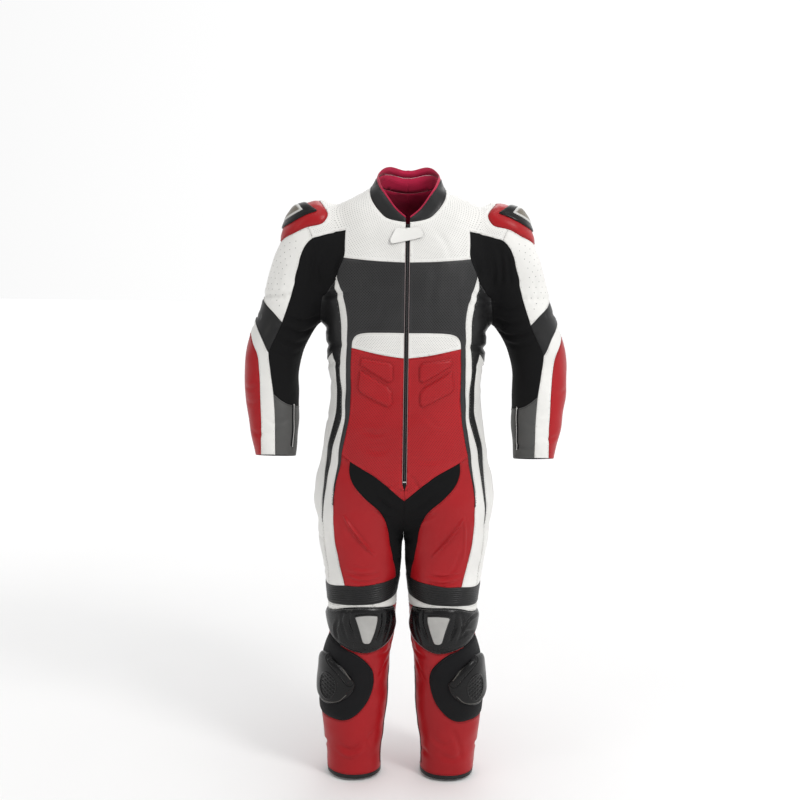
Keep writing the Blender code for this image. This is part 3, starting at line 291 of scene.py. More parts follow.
class BodyChart(Chart):
    """The torso and one leg. Above the chest the rays rise from one point, like a fan."""

    def turn_and_lean(self, offset, points):
        return (np.arctan2(offset[:, 1], offset[:, 0]),
                np.arctan2(offset[:, 2], np.hypot(offset[:, 0], offset[:, 1])))

    def rays(self, turn, lean, centre):
        level = np.cos(lean)
        return centre, np.column_stack([level * np.cos(turn), level * np.sin(turn), np.sin(lean)])


class SleeveChart(Chart):
    """The sleeve. Above the upper arm its sections lean over, about a pivot, to meet the armhole."""

    LEAN_RADIUS = 0.130
    BEND = 0.085        # from the pivot to the axis

    def lean_way(self, lean):
        return np.column_stack([np.cos(lean), np.zeros_like(lean), np.sin(lean)])

    def pivot(self):
        return self.centre(np.array([self.top_level]))[0] - (self.BEND, 0, 0)

    def turn_and_lean(self, offset, points):
        away = points - self.pivot()
        lean = np.where(points[:, 2] > self.top_level, np.arctan2(away[:, 2], away[:, 0]), 0.0)
        outer = np.where(lean > 0, np.hypot(away[:, 0], away[:, 2]) - self.BEND, offset[:, 0])
        return np.arctan2(offset[:, 1], outer), lean

    def rays(self, turn, lean, centre):
        way = self.lean_way(lean)
        starts = np.where(lean[:, None] > 0, self.pivot() + self.BEND * way, centre)
        return starts, np.cos(turn)[:, None] * way + np.sin(turn)[:, None] * np.array((0.0, 1.0, 0.0))


BODY = BodyChart(
    axis=[(-1.34, 0.108, 0.004), (-1.20, 0.110, 0.008), (-1.10, 0.107, 0.004), (-1.00, 0.095, 0.0),
          (-0.80, 0.096, 0.006), (-0.70, 0.080, 0.010), (-0.60, 0.050, 0.008), (-0.50, 0.015, 0.004),
          (-0.42, 0.0, 0.002), (-0.15, 0.0, 0.010)],
    top_level=-0.150,
    girth=[(-1.34, 0.066), (-1.15, 0.080), (-0.95, 0.080), (-0.80, 0.095), (-0.60, 0.130), (-0.40, 0.140),
           (-0.15, 0.150), (0.0, 0.105), (0.05, 0.070)],
)
ARM = SleeveChart(
    axis=[(row[0], row[1], row[2]) for row in SLEEVE[::-1] if row[0] < -0.190],
    top_level=-0.200,
    girth=[(-0.60, 0.045), (-0.50, 0.056), (-0.35, 0.068), (-0.20, 0.078), (0.00, 0.080)],
)


@lru_cache(maxsize=None)
def on_view(x, z, facing):
    """The place on the form seen at (x, z), from the front where facing is -1 and the back where it is 1."""
    return first_wall(np.array([[x, 0.012, z]]), np.array([[0.0, float(facing), 0.0]]), 0.20, 12)


def armhole_place(angle):
    """The armhole at an angle about its centre: 90 is the shoulder, 180 the front, 270 the armpit."""
    angle = np.radians(np.atleast_1d(np.asarray(angle, float)))
    across = through(ARMHOLE[:, 0], ARMHOLE[:, 1], np.sin(angle))
    starts = np.stack([across, np.full_like(across, ARMHOLE_CENTRE[0]),
                       np.full_like(across, ARMHOLE_CENTRE[1])], axis=-1)
    directions = np.stack([np.zeros_like(angle), np.cos(angle), np.sin(angle)], axis=-1)
    return first_wall(starts, directions)


@lru_cache(maxsize=None)
def armhole_angle(level, facing):
    """The angle at which the armhole crosses a level, in front where facing is -1."""
    angles = np.linspace(270.0, 90.0, 181) if facing < 0 else np.linspace(-90.0, 90.0, 181)
    return float(np.interp(level, armhole_place(angles)[:, 2], angles))


def centre_place(angle):
    """The centre line at an angle about a point inside the hips: 180 is the front, 270 the crotch."""
    angle = np.radians(np.atleast_1d(np.asarray(angle, float)))
    starts = np.tile((0.0, 0.006, CROTCH_AXIS), (len(angle), 1))
    directions = np.stack([np.zeros_like(angle), np.cos(angle), np.sin(angle)], axis=-1)
    return first_wall(starts, directions)


# ---------------------------------------------------------------- points on the seam lines
def front(x, z, chart=BODY):
    return chart.find(on_view(x, z, -1))[0]


def back(x, z, chart=BODY):
    return chart.find(on_view(x, z, 1))[0]


def turned(turn, level, chart=BODY):
    return chart.turn_map(float(turn), level)


def ring_maps(ring):
    turns, leans = np.array(ring, float).T
    return BODY.find(BODY.place(BODY.lean_map(turns, leans)))


def smooth_line(points, step):
    """A curve through map points, as points at most a step apart that keep the given ones."""
    points = np.asarray(points, float)
    padded = np.vstack([2 * points[0] - points[1], points, 2 * points[-1] - points[-2]])
    line = []
    for i in range(len(points) - 1):
        before, a, b, after = padded[i:i + 4]
        pieces = max(1, math.ceil(np.linalg.norm(b - a) / step - 0.2))
        for k in range(pieces):
            t = k / pieces
            line.append(0.5 * (2 * a + (b - before) * t + (2 * before - 5 * a + 4 * b - after) * t**2
                               + (3 * a - before - 3 * b + after) * t**3))
    line.append(points[-1])
    return np.array(line)


class Net:
    """Seam lines on a chart, and the triangles that they cut it into."""

    def __init__(self, chart):
        self.chart = chart
        self.maps = []
        self.edges = []
        self.fixed = []         # the place of a point that is known better than the chart gives it

    def add(self, maps, places=None):
        first = len(self.maps)
        self.maps.extend(np.asarray(maps, float))
        self.fixed.extend(places if places is not None else [None] * len(maps))
        self.edges.extend((first + i, first + i + 1) for i in range(len(maps) - 1))

    def seam(self, *points, step=SEAM_STEP):
        self.add(smooth_line(points, step))

    def cut(self, step, fine_step, fine_zones):
        """Triangles between the seam lines, with a region number each.

        The zones (turn from, to, level from, to) have the fine step.
        """
        lines = np.array(self.maps)
        tree = tree_of(np.column_stack([lines, np.zeros(len(lines))]))
        low, high = lines.min(axis=0), lines.max(axis=0)
        grid = []
        for size in (step, fine_step):
            for row, height in enumerate(np.arange(low[1], high[1], size * math.sqrt(0.75))):
                across = np.arange(low[0] + (row % 2) * size / 2, high[0], size)
                turns = np.degrees(across / self.chart.girth(np.full(len(across), height)))
                fine = np.zeros(len(across), bool)
                for turn_a, turn_b, level_a, level_b in fine_zones:
                    if level_a < height < level_b:
                        fine |= (turns > turn_a) & (turns < turn_b)
                for place in across[fine == (size == fine_step)]:
                    if tree.find((place, height, 0.0))[2] > GRID_CLEARANCE * size:
                        grid.append((place, height))
        points = [Vector(p) for p in self.maps] + [Vector(p) for p in grid]
        maps, edges, faces, origins, edge_origins, _ = delaunay_2d_cdt(points, self.edges, [], 0, 1e-6)
        self.flat = np.array([tuple(p) for p in maps])
        self.faces = np.array(faces)
        self.place_of = [next((self.fixed[i] for i in origin if i < len(self.fixed)
                               and self.fixed[i] is not None), None) for origin in origins]
        walls = {tuple(sorted(edge)) for edge, origin in zip(edges, edge_origins) if origin}
        self.region = flood(self.faces, walls)

    def region_at(self, point):
        """The region that holds a map point."""
        a, b, c = (self.flat[self.faces[:, k]] for k in range(3))

        def side(p, q):
            return (q[:, 0] - p[:, 0]) * (point[1] - p[:, 1]) - (q[:, 1] - p[:, 1]) * (point[0] - p[:, 0])
        inside = (side(a, b) >= 0) & (side(b, c) >= 0) & (side(c, a) >= 0)
        return self.region[int(np.argmax(inside))]


def flood(faces, walls):
    """A number for each face, the same for faces that no wall parts."""
    across = {}
    for index, face in enumerate(faces):
        for k in range(3):
            edge = tuple(sorted((int(face[k]), int(face[(k + 1) % 3]))))
            if edge not in walls:
                across.setdefault(edge, []).append(index)
    neighbours = [[] for _ in faces]
    for pair in across.values():
        if len(pair) == 2:
            neighbours[pair[0]].append(pair[1])
            neighbours[pair[1]].append(pair[0])
    region = np.full(len(faces), -1)
    for start in range(len(faces)):
        if region[start] >= 0:
            continue
        region[start] = start
        queue = [start]
        while queue:
            for other in neighbours[queue.pop()]:
                if region[other] < 0:
                    region[other] = start
                    queue.append(other)
    return region


# ---------------------------------------------------------------- the seams of the body and leg
YOKE_LEVEL = -0.153
BELLY_TOP = -0.303
BELLY_BOTTOM = -0.358
BACK_YOKE_LEVEL = -0.205
SEAT_LEVEL = -0.500
KNEE_BACK = -0.930
BAND_TOP = -0.872
HEM_TOP = -1.3270
STRETCH_TOP_LEVEL = -0.091      # where seams cross the armhole
STRETCH_END_LEVEL = -0.230
BACK_SLEEVE_LEVEL = -0.125
BACK_YOKE_SIDE = -0.190
BACK_SIDE_LEVEL = -0.235
SHOULDER_ANGLE = 90.0


def mid(level, facing=-1):
    return BODY.find(on_view(0.0, level, facing))[0]


def armhole_points():
    """The armhole's places, all the way round from the armpit up the front and down the back."""
    front_joins = [armhole_angle(level, -1) for level in (STRETCH_END_LEVEL, STRETCH_TOP_LEVEL)]
    back_joins = [armhole_angle(level, 1) for level in (BACK_SLEEVE_LEVEL, BACK_YOKE_SIDE, BACK_SIDE_LEVEL)]
    joins = [270.0, *front_joins, SHOULDER_ANGLE, *back_joins, -90.0]
    angles = []
    for high, low in zip(joins, joins[1:]):
        length = np.linalg.norm(armhole_place(high) - armhole_place(low))
        pieces = max(1, math.ceil(1.15 * length / SEAM_STEP))
        angles += [high + (low - high) * k / pieces for k in range(pieces)]
    angles.append(-90.0)
    return armhole_place(angles)


def centre_places():
    """The centre line: down the front, round the crotch and up the back, and where the crotch is in it."""
    collar = [ring[0] for ring in (ring_maps(COLLAR_EDGE), ring_maps(COLLAR_RING), ring_maps(NECK_RING))]
    top = list(BODY.place(np.array(collar)))
    levels = stepped([-0.0705, -0.110, YOKE_LEVEL, BELLY_TOP, BELLY_BOTTOM, CROTCH_AXIS])
    down = [on_view(0.0, level, -1)[0] for level in levels]
    under = list(centre_place(angles_between(180, GROIN_ANGLE, 270)[1:-1]))
    crotch = len(top) + len(down) + len(under)
    under += list(centre_place(angles_between(270, 360)[:-1]))
    levels = stepped([CROTCH_AXIS, SEAT_LEVEL, BACK_YOKE_LEVEL, -0.02])
    up = [on_view(0.0, level, 1)[0] for level in levels]
    collar = [ring[-1] for ring in (ring_maps(NECK_RING), ring_maps(COLLAR_RING), ring_maps(COLLAR_EDGE))]
    return top + down + under + up + list(BODY.place(np.array(collar))), crotch


def angles_between(*angles):
    """The angles with more between them, so that the centre line's points are a seam's step apart."""
    out = []
    for a, b in zip(angles, angles[1:]):
        pieces = math.ceil((b - a) / CROTCH_STEP)
        out += [a + (b - a) * k / pieces for k in range(pieces)]
    return out + [angles[-1]]


def stepped(levels):
    """The levels with more between them, so that none is further than a seam's step from the next."""
    out = []
    for a, b in zip(levels, levels[1:]):
        pieces = max(1, round(abs(b - a) / SEAM_STEP))
        out += [a + (b - a) * k / pieces for k in range(pieces)]
    return out + [levels[-1]]


COLLAR_EDGE = [(turn, rise + EDGE_RISE) for turn, rise in COLLAR_RING]
GROIN_ANGLE = 215.0
CROTCH_STEP = 2.2           # degrees between points of the centre line round the crotch


def unwound(maps, sign):
    """Map points that all lie on one side of the body chart's cut: -1 for the front, 1 for the back."""
    whole_turn = 2 * math.pi * BODY.girth(maps[:, 1])
    beyond = sign * maps[:, 0] < -0.25 * whole_turn
    return maps + np.column_stack([sign * beyond * whole_turn, np.zeros(len(maps))])


def body_net(armhole):
    net = Net(BODY)
    places, crotch = centre_places()
    maps = BODY.find(np.array(places))
    low = places[crotch][2]
    net.add(np.vstack([unwound(maps[:crotch], -1), turned(-INSEAM, low)]), places[:crotch + 1])
    net.add(np.vstack([turned(INSEAM, low), unwound(maps[crotch + 1:], 1)]), places[crotch:])
    hole = BODY.find(armhole)
    net.add(hole, list(armhole))

    def on_armhole(level, facing):
        return BODY.find(armhole_place(armhole_angle(level, facing)))[0]

    for ring in (NECK_RING, COLLAR_RING, COLLAR_EDGE):
        net.seam(*ring_maps(ring))
    shoulder = BODY.find(armhole_place(SHOULDER_ANGLE))[0]
    neck_side = ring_maps(NECK_RING)[5]
    net.seam(neck_side, (0.5 * neck_side + 0.5 * shoulder), shoulder)

    # the chest, the stretch panel's edge and the side stripe
    corner = front(0.135, -0.084)
    chest_end = front(0.138, -0.144)
    stripe_top = front(0.154, -0.181)
    stripe_top_out = front(0.161, -0.194)
    net.seam(mid(YOKE_LEVEL), front(0.070, -0.150), chest_end)
    net.seam(corner, front(0.157, -0.088), on_armhole(STRETCH_TOP_LEVEL, -1))
    net.seam(corner, front(0.136, -0.115), chest_end, stripe_top, stripe_top_out,
             front(0.170, -0.211), on_armhole(STRETCH_END_LEVEL, -1))
    strip_end = front(0.158, -0.690)
    hip_tip = front(0.1395, -0.574)
    flank_tip = front(0.163, -0.352)
    flank_meets = front(0.1815, -0.735)
    band_in = front(0.131, BAND_TOP - 0.001)
    band_out = front(0.167, -0.880)
    net.seam(stripe_top, front(0.142, -0.218), front(0.130, -0.263), front(0.130, -0.335),
             front(0.131, -0.390), front(0.1325, -0.450), front(0.134, -0.500), front(0.145, -0.559),
             front(0.1535, -0.632), strip_end, front(0.157, -0.735), front(0.151, -0.783), band_in)
    net.seam(stripe_top_out, front(0.154, -0.222), front(0.145, -0.264), front(0.1425, -0.335),
             front(0.145, -0.390), front(0.141, -0.450), front(0.1425, -0.501), front(0.161, -0.562),
             front(0.176, -0.660), flank_meets, front(0.178, -0.785), band_out)
    net.seam(flank_tip, front(0.155, -0.390), front(0.153, -0.450), front(0.1565, -0.500),
             front(0.1735, -0.565), front(0.181, -0.650), flank_meets)

    # belly band, abdomen and groin
    belly_out = front(0.1195, -0.338)
    net.seam(mid(BELLY_TOP), front(0.050, -0.303), front(0.088, -0.3045), front(0.108, -0.310),
             front(0.117, -0.322), belly_out)
    net.seam(belly_out, front(0.067, -0.349), front(0.030, -0.355), mid(BELLY_BOTTOM))
    net.seam(belly_out, front(0.121, -0.390), front(0.1205, -0.446), front(0.125, -0.501),
             front(0.136, -0.557), hip_tip, front(0.147, -0.620), strip_end)
    groin_tip = front(0.121, -0.589)
    net.seam(hip_tip, groin_tip, front(0.093, -0.604), front(0.065, -0.620), front(0.031, -0.647),
             BODY.find(centre_place(GROIN_ANGLE))[0])
    band_inner = turned(-INSEAM, BAND_TOP + 0.012)
    net.seam(groin_tip, front(0.122, -0.611), front(0.113, -0.638), front(0.087, -0.669),
             front(0.056, -0.698), front(0.041, -0.724), front(0.034, -0.748), front(0.028, -0.790),
             turned(-152, BAND_TOP + 0.009))

    # knee: ribbed band, wavy band, cup and shield
    net.band = [smooth_line(points, SEAM_STEP) for points in (
        (band_inner, turned(-152, BAND_TOP + 0.009), front(0.060, -0.868), front(0.096, BAND_TOP), band_in,
         band_out, turned(0, -0.879), turned(38, BAND_TOP)),
        (turned(-INSEAM, -0.905), front(0.022, -0.908), front(0.060, -0.914), front(0.098, -0.9155),
         front(0.130, -0.918), front(0.160, -0.922), turned(0, -0.925), turned(38, -0.922)))]
    for line in net.band:
        net.add(line)
    cup_in = front(0.022, -0.929)
    cup_out = turned(12, -0.9455)
    net.seam(turned(-INSEAM, KNEE_BACK), cup_in, front(0.060, -0.9225), front(0.098, -0.9205),
             front(0.130, -0.925), front(0.160, -0.938), cup_out, turned(36, KNEE_BACK - 0.012))
    net.seam(cup_in, turned(-166, -0.972), front(0.029, -1.006), front(0.050, -1.022),
             front(0.082, -1.030), front(0.113, -1.0245), front(0.140, -1.014), turned(-24, -0.994),
             turned(0, -0.975), cup_out)
    shield = [front(0.0590, -0.938), front(0.081, -0.935), front(0.1040, -0.938), front(0.1040, -0.950),
              front(0.0930, -0.992), front(0.0880, -1.002), front(0.0810, -1.004), front(0.0740, -1.002),
              front(0.0690, -0.992), front(0.0585, -0.950), front(0.0590, -0.938)]
    net.seam(*shield)

    # shin: slider patch with its puck, and the hem
    patch = [front(0.140, -1.014), front(0.105, -1.032), front(0.080, -1.054), front(0.065, -1.080),
             front(0.064, -1.110), front(0.075, -1.147), front(0.098, -1.178), front(0.125, -1.195),
             front(0.155, -1.196), turned(0, -1.188), turned(20, -1.150), turned(24, -1.095),
             turned(14, -1.045), turned(-8, -1.012), turned(-24, -0.994)]
    net.seam(*patch)
    puck = [front(0.163, -1.040), front(0.138, -1.060), front(0.108, -1.094), front(0.109, -1.118),
            front(0.126, -1.140), front(0.152, -1.156), front(0.176, -1.158), turned(4, -1.130),
            turned(6, -1.085), turned(-8, -1.050), front(0.163, -1.040)]
    net.seam(*puck)
    net.seam(*[turned(turn, HEM_TOP) for turn in range(-180, 181, 30)])
    net.seam(*[turned(turn, HEM) for turn in range(-180, 181, 30)])

    # the back and the side seam
    net.seam(mid(BACK_YOKE_LEVEL, 1), back(0.070, -0.202), on_armhole(BACK_YOKE_SIDE, 1))
    waist_side = turned(30, SEAT_LEVEL + 0.030)
    net.seam(on_armhole(BACK_SIDE_LEVEL, 1), turned(33, -0.300), turned(31, -0.400), waist_side,
             turned(28, -0.600), turned(33, -0.750), turned(38, BAND_TOP))
    net.seam(flank_tip, turned(0, -0.385), turned(18, -0.430), waist_side)
    net.seam(mid(SEAT_LEVEL, 1), back(0.090, SEAT_LEVEL), waist_side)
    net.seam(turned(38, BAND_TOP), turned(38, -0.922), turned(36, KNEE_BACK - 0.012))
    net.seam(turned(INSEAM, KNEE_BACK - 0.010), turned(108, KNEE_BACK - 0.012), turned(36, KNEE_BACK - 0.012))

    # both sides of the inner seam
    joins = [low, BAND_TOP + 0.012, -0.905, KNEE_BACK, KNEE_BACK - 0.010, HEM_TOP, HEM]
    for turn in (-INSEAM, INSEAM):
        net.add([turned(turn, level) for level in stepped(joins)])
    net.cut(MESH_STEP, FINE_STEP, BODY_FINE)
    return net


# ---------------------------------------------------------------- the seams of the sleeve
def cast(start, direction):
    """The map point where a ray from inside the sleeve leaves the form."""
    return ARM.find(first_wall(np.array([start]), np.array([direction], float)))[0]


def above(x, y=0.010):
    return cast((x, y, -0.130), (0, 0, 1))


def outer(z):
    return cast((0.205, 0.010, z), (1, 0, 0))


def wrist_level(turn):
    """The sleeve's end is square to the forearm, so its front is higher than its back."""
    return WRIST - WRIST_SLOPE * math.sin(math.radians(turn))


def pad_outline():
    half = [(0.184, -0.033), (0.175, -0.049), (0.180, -0.063), (0.191, -0.072), (0.217, -0.078),
            (0.250, -0.093), (0.275, -0.105)]
    ahead = [front(x, z, ARM) for x, z in half]
    behind = [back(x, z, ARM) for x, z in half]
    return [above(0.199), *ahead, outer(-0.112), *behind[::-1], above(0.199)]


def plate_outline():
    half = [(0.214, -0.036), (0.199, -0.047), (0.236, -0.063), (0.262, -0.076)]
    ahead = [front(x, z, ARM) for x, z in half]
    behind = [back(x, z, ARM) for x, z in half]
    return [above(0.230), *ahead, outer(-0.084), *behind[::-1], above(0.230)]


UNDERARM_STRAIGHT = -0.476  # level below which the underarm seam runs straight


def armhole_map(armhole):
    """The armhole's map points, unwound so that they run from one side of the chart's cut to the other."""
    maps = ARM.find(armhole)
    girth = ARM.girth(maps[:, 1])
    turns = np.degrees(maps[:, 0] / girth)
    half = len(turns) // 2
    turns[:half] -= np.where(turns[:half] > 90, 360, 0)
    turns[half:] += np.where(turns[half:] < -90, 360, 0)
    turns[-1] = turns[0] + 360
    return np.column_stack([np.radians(turns) * girth, maps[:, 1]]), turns[0]


def arm_net(armhole):
    net = Net(ARM)
    armpit = armhole[0][2]
    hole, pit_turn = armhole_map(armhole)
    net.add(hole, list(armhole))

    def on_armhole(level, facing):
        return ARM.find(armhole_place(armhole_angle(level, facing)))[0]

    def ahead(x, z):
        return front(x, z, ARM)

    def at(turn, level):
        return turned(turn, level, ARM)

    pad = pad_outline()
    net.seam(*pad)
    net.seam(*plate_outline())
    net.seam(ARM.find(armhole_place(SHOULDER_ANGLE))[0], pad[0])
    stretch_corner = ahead(0.207, -0.103)
    net.seam(pad[5], stretch_corner)
    net.seam(pad[11], back(0.192, -0.105, ARM), on_armhole(BACK_SLEEVE_LEVEL, 1))
    sleeve_tip = ahead(0.274, -0.287)
    net.seam(on_armhole(STRETCH_TOP_LEVEL, -1), ahead(0.190, -0.098), stretch_corner, ahead(0.222, -0.118),
             ahead(0.232, -0.140), ahead(0.238, -0.165), ahead(0.2455, -0.195), ahead(0.255, -0.232),
             ahead(0.265, -0.262), sleeve_tip)
    sleeve_back = at(105, -0.280)
    net.seam(sleeve_tip, ahead(0.297, -0.263), ahead(0.318, -0.241), at(0, -0.236), at(50, -0.250),
             sleeve_back)
    net.seam(on_armhole(BACK_YOKE_SIDE, 1), at(114, -0.235), sleeve_back)

    # elbow and forearm
    elbow_in = ahead(0.304, -0.354)
    white_tip = at(-4, -0.282)
    red_tip = at(20, -0.310)
    red_back = at(80, -0.372)
    elbow_back = at(105, -0.378)
    cuff_in = ahead(0.291, -0.443)
    cuff_back = at(76, -0.442)
    net.seam(sleeve_tip, ahead(0.289, -0.320), elbow_in)
    net.seam(sleeve_back, at(105, -0.330), elbow_back)
    net.seam(elbow_in, ahead(0.326, -0.312), white_tip, red_tip, at(50, -0.350), red_back, elbow_back)
    net.seam(elbow_in, ahead(0.2985, -0.395), cuff_in, ahead(0.2865, -0.500), at(-95, wrist_level(-95)))
    net.seam(red_tip, ahead(0.349, -0.318), ahead(0.333, -0.352), ahead(0.324, -0.395), ahead(0.3205, -0.445),
             ahead(0.3175, -0.515), at(-52, wrist_level(-52)))
    net.seam(red_back, cuff_back, at(72, -0.520), at(70, wrist_level(70)))
    net.seam(cuff_in, ahead(0.272, -0.459), ahead(0.254, -0.469), at(-UNDERARM, UNDERARM_STRAIGHT))
    net.seam(at(UNDERARM, UNDERARM_STRAIGHT), at(125, -0.468), cuff_back)
    net.seam(*[at(turn, wrist_level(turn)) for turn in WRIST_TURNS])

    def underarm(turn, level):
        bent = max(0.0, (level - UNDERARM_STRAIGHT) / (armpit - UNDERARM_STRAIGHT))
        return at(turn + (pit_turn + UNDERARM) * bent, level)

    for turn in (-UNDERARM, UNDERARM):
        net.add([underarm(turn, level) for level in stepped([armpit, UNDERARM_STRAIGHT, WRIST])])
    net.cut(MESH_STEP, FINE_STEP, ARM_FINE)
    return net


# ---------------------------------------------------------------- pieces
# piece, net, seeds: (how, a, b) with f front, b back, t turn and level, r turn and lean
PIECES = {
    "yoke": [("body", "f", 0.060, -0.120), ("arm", "f", 0.195, -0.085)],
    "chest": [("body", "f", 0.080, -0.220)],
    "belly": [("body", "f", 0.050, -0.330)],
    "abdomen": [("body", "f", 0.070, -0.450)],
    "stripe": [("body", "f", 0.149, -0.215)],
    "side": [("body", "t", 0.0, -0.300)],
    "flank": [("body", "t", 0.0, -0.600)],
    "groin": [("body", "f", 0.030, -0.705)],
    "thigh": [("body", "f", 0.100, -0.750)],
    "seat": [("body", "b", 0.080, -0.650)],
    "knee_band": [("body", "f", 0.090, -0.893)],
    "knee_wave": [("body", "f", 0.158, -0.931)],
    "knee_cup": [("body", "f", 0.150, -0.970), ("body", "f", 0.082, -0.965)],
    "slider_patch": [("body", "f", 0.082, -1.100), ("body", "f", 0.150, -1.100)],
    "shin": [("body", "f", 0.100, -1.270)],
    "hem": [("body", "f", 0.100, -1.329)],
    "sleeve": [("arm", "t", 0.0, -0.190)],
    "stretch": [("arm", "t", -150.0, -0.350), ("arm", "t", 150.0, -0.350), ("body", "f", 0.148, -0.130)],
    "elbow": [("arm", "t", 40.0, -0.290)],
    "forearm_white": [("arm", "f", 0.312, -0.420)],
    "forearm_red": [("arm", "t", 10.0, -0.420)],
    "cuff": [("arm", "t", -150.0, -0.530), ("arm", "t", 150.0, -0.530)],
    "pad": [("arm", "f", 0.262, -0.088), ("arm", "f", 0.240, -0.058)],
}
WHOLE_PIECES = {
    "collar": [("body", "r", -45.0, 56.0)],
    "collar_edge": [("body", "r", 0.0, 69.5)],
    "back_yoke": [("body", "b", 0.050, -0.120), ("arm", "b", 0.195, -0.085)],
    "back_middle": [("body", "b", 0.050, -0.350)],
}
# what lies on a piece: the piece under it, and its own seed
OVERLAYS = {
    "plate": ("pad", ("arm", "f", 0.240, -0.058)),
    "knee_shield": ("knee_cup", ("body", "f", 0.082, -0.965)),
    "slider_puck": ("slider_patch", ("body", "f", 0.150, -1.100)),
}
# the parts of the charts with fine facets: turn from, to, level from, to
BODY_FINE = [(-84, -36, -0.475, -0.350), (-115, 45, -0.880, -0.700), (-180, 10, -1.035, -0.915),
             (-112, 26, -1.205, -0.990)]
ARM_FINE = [(-100, 100, -0.115, 0.200)]

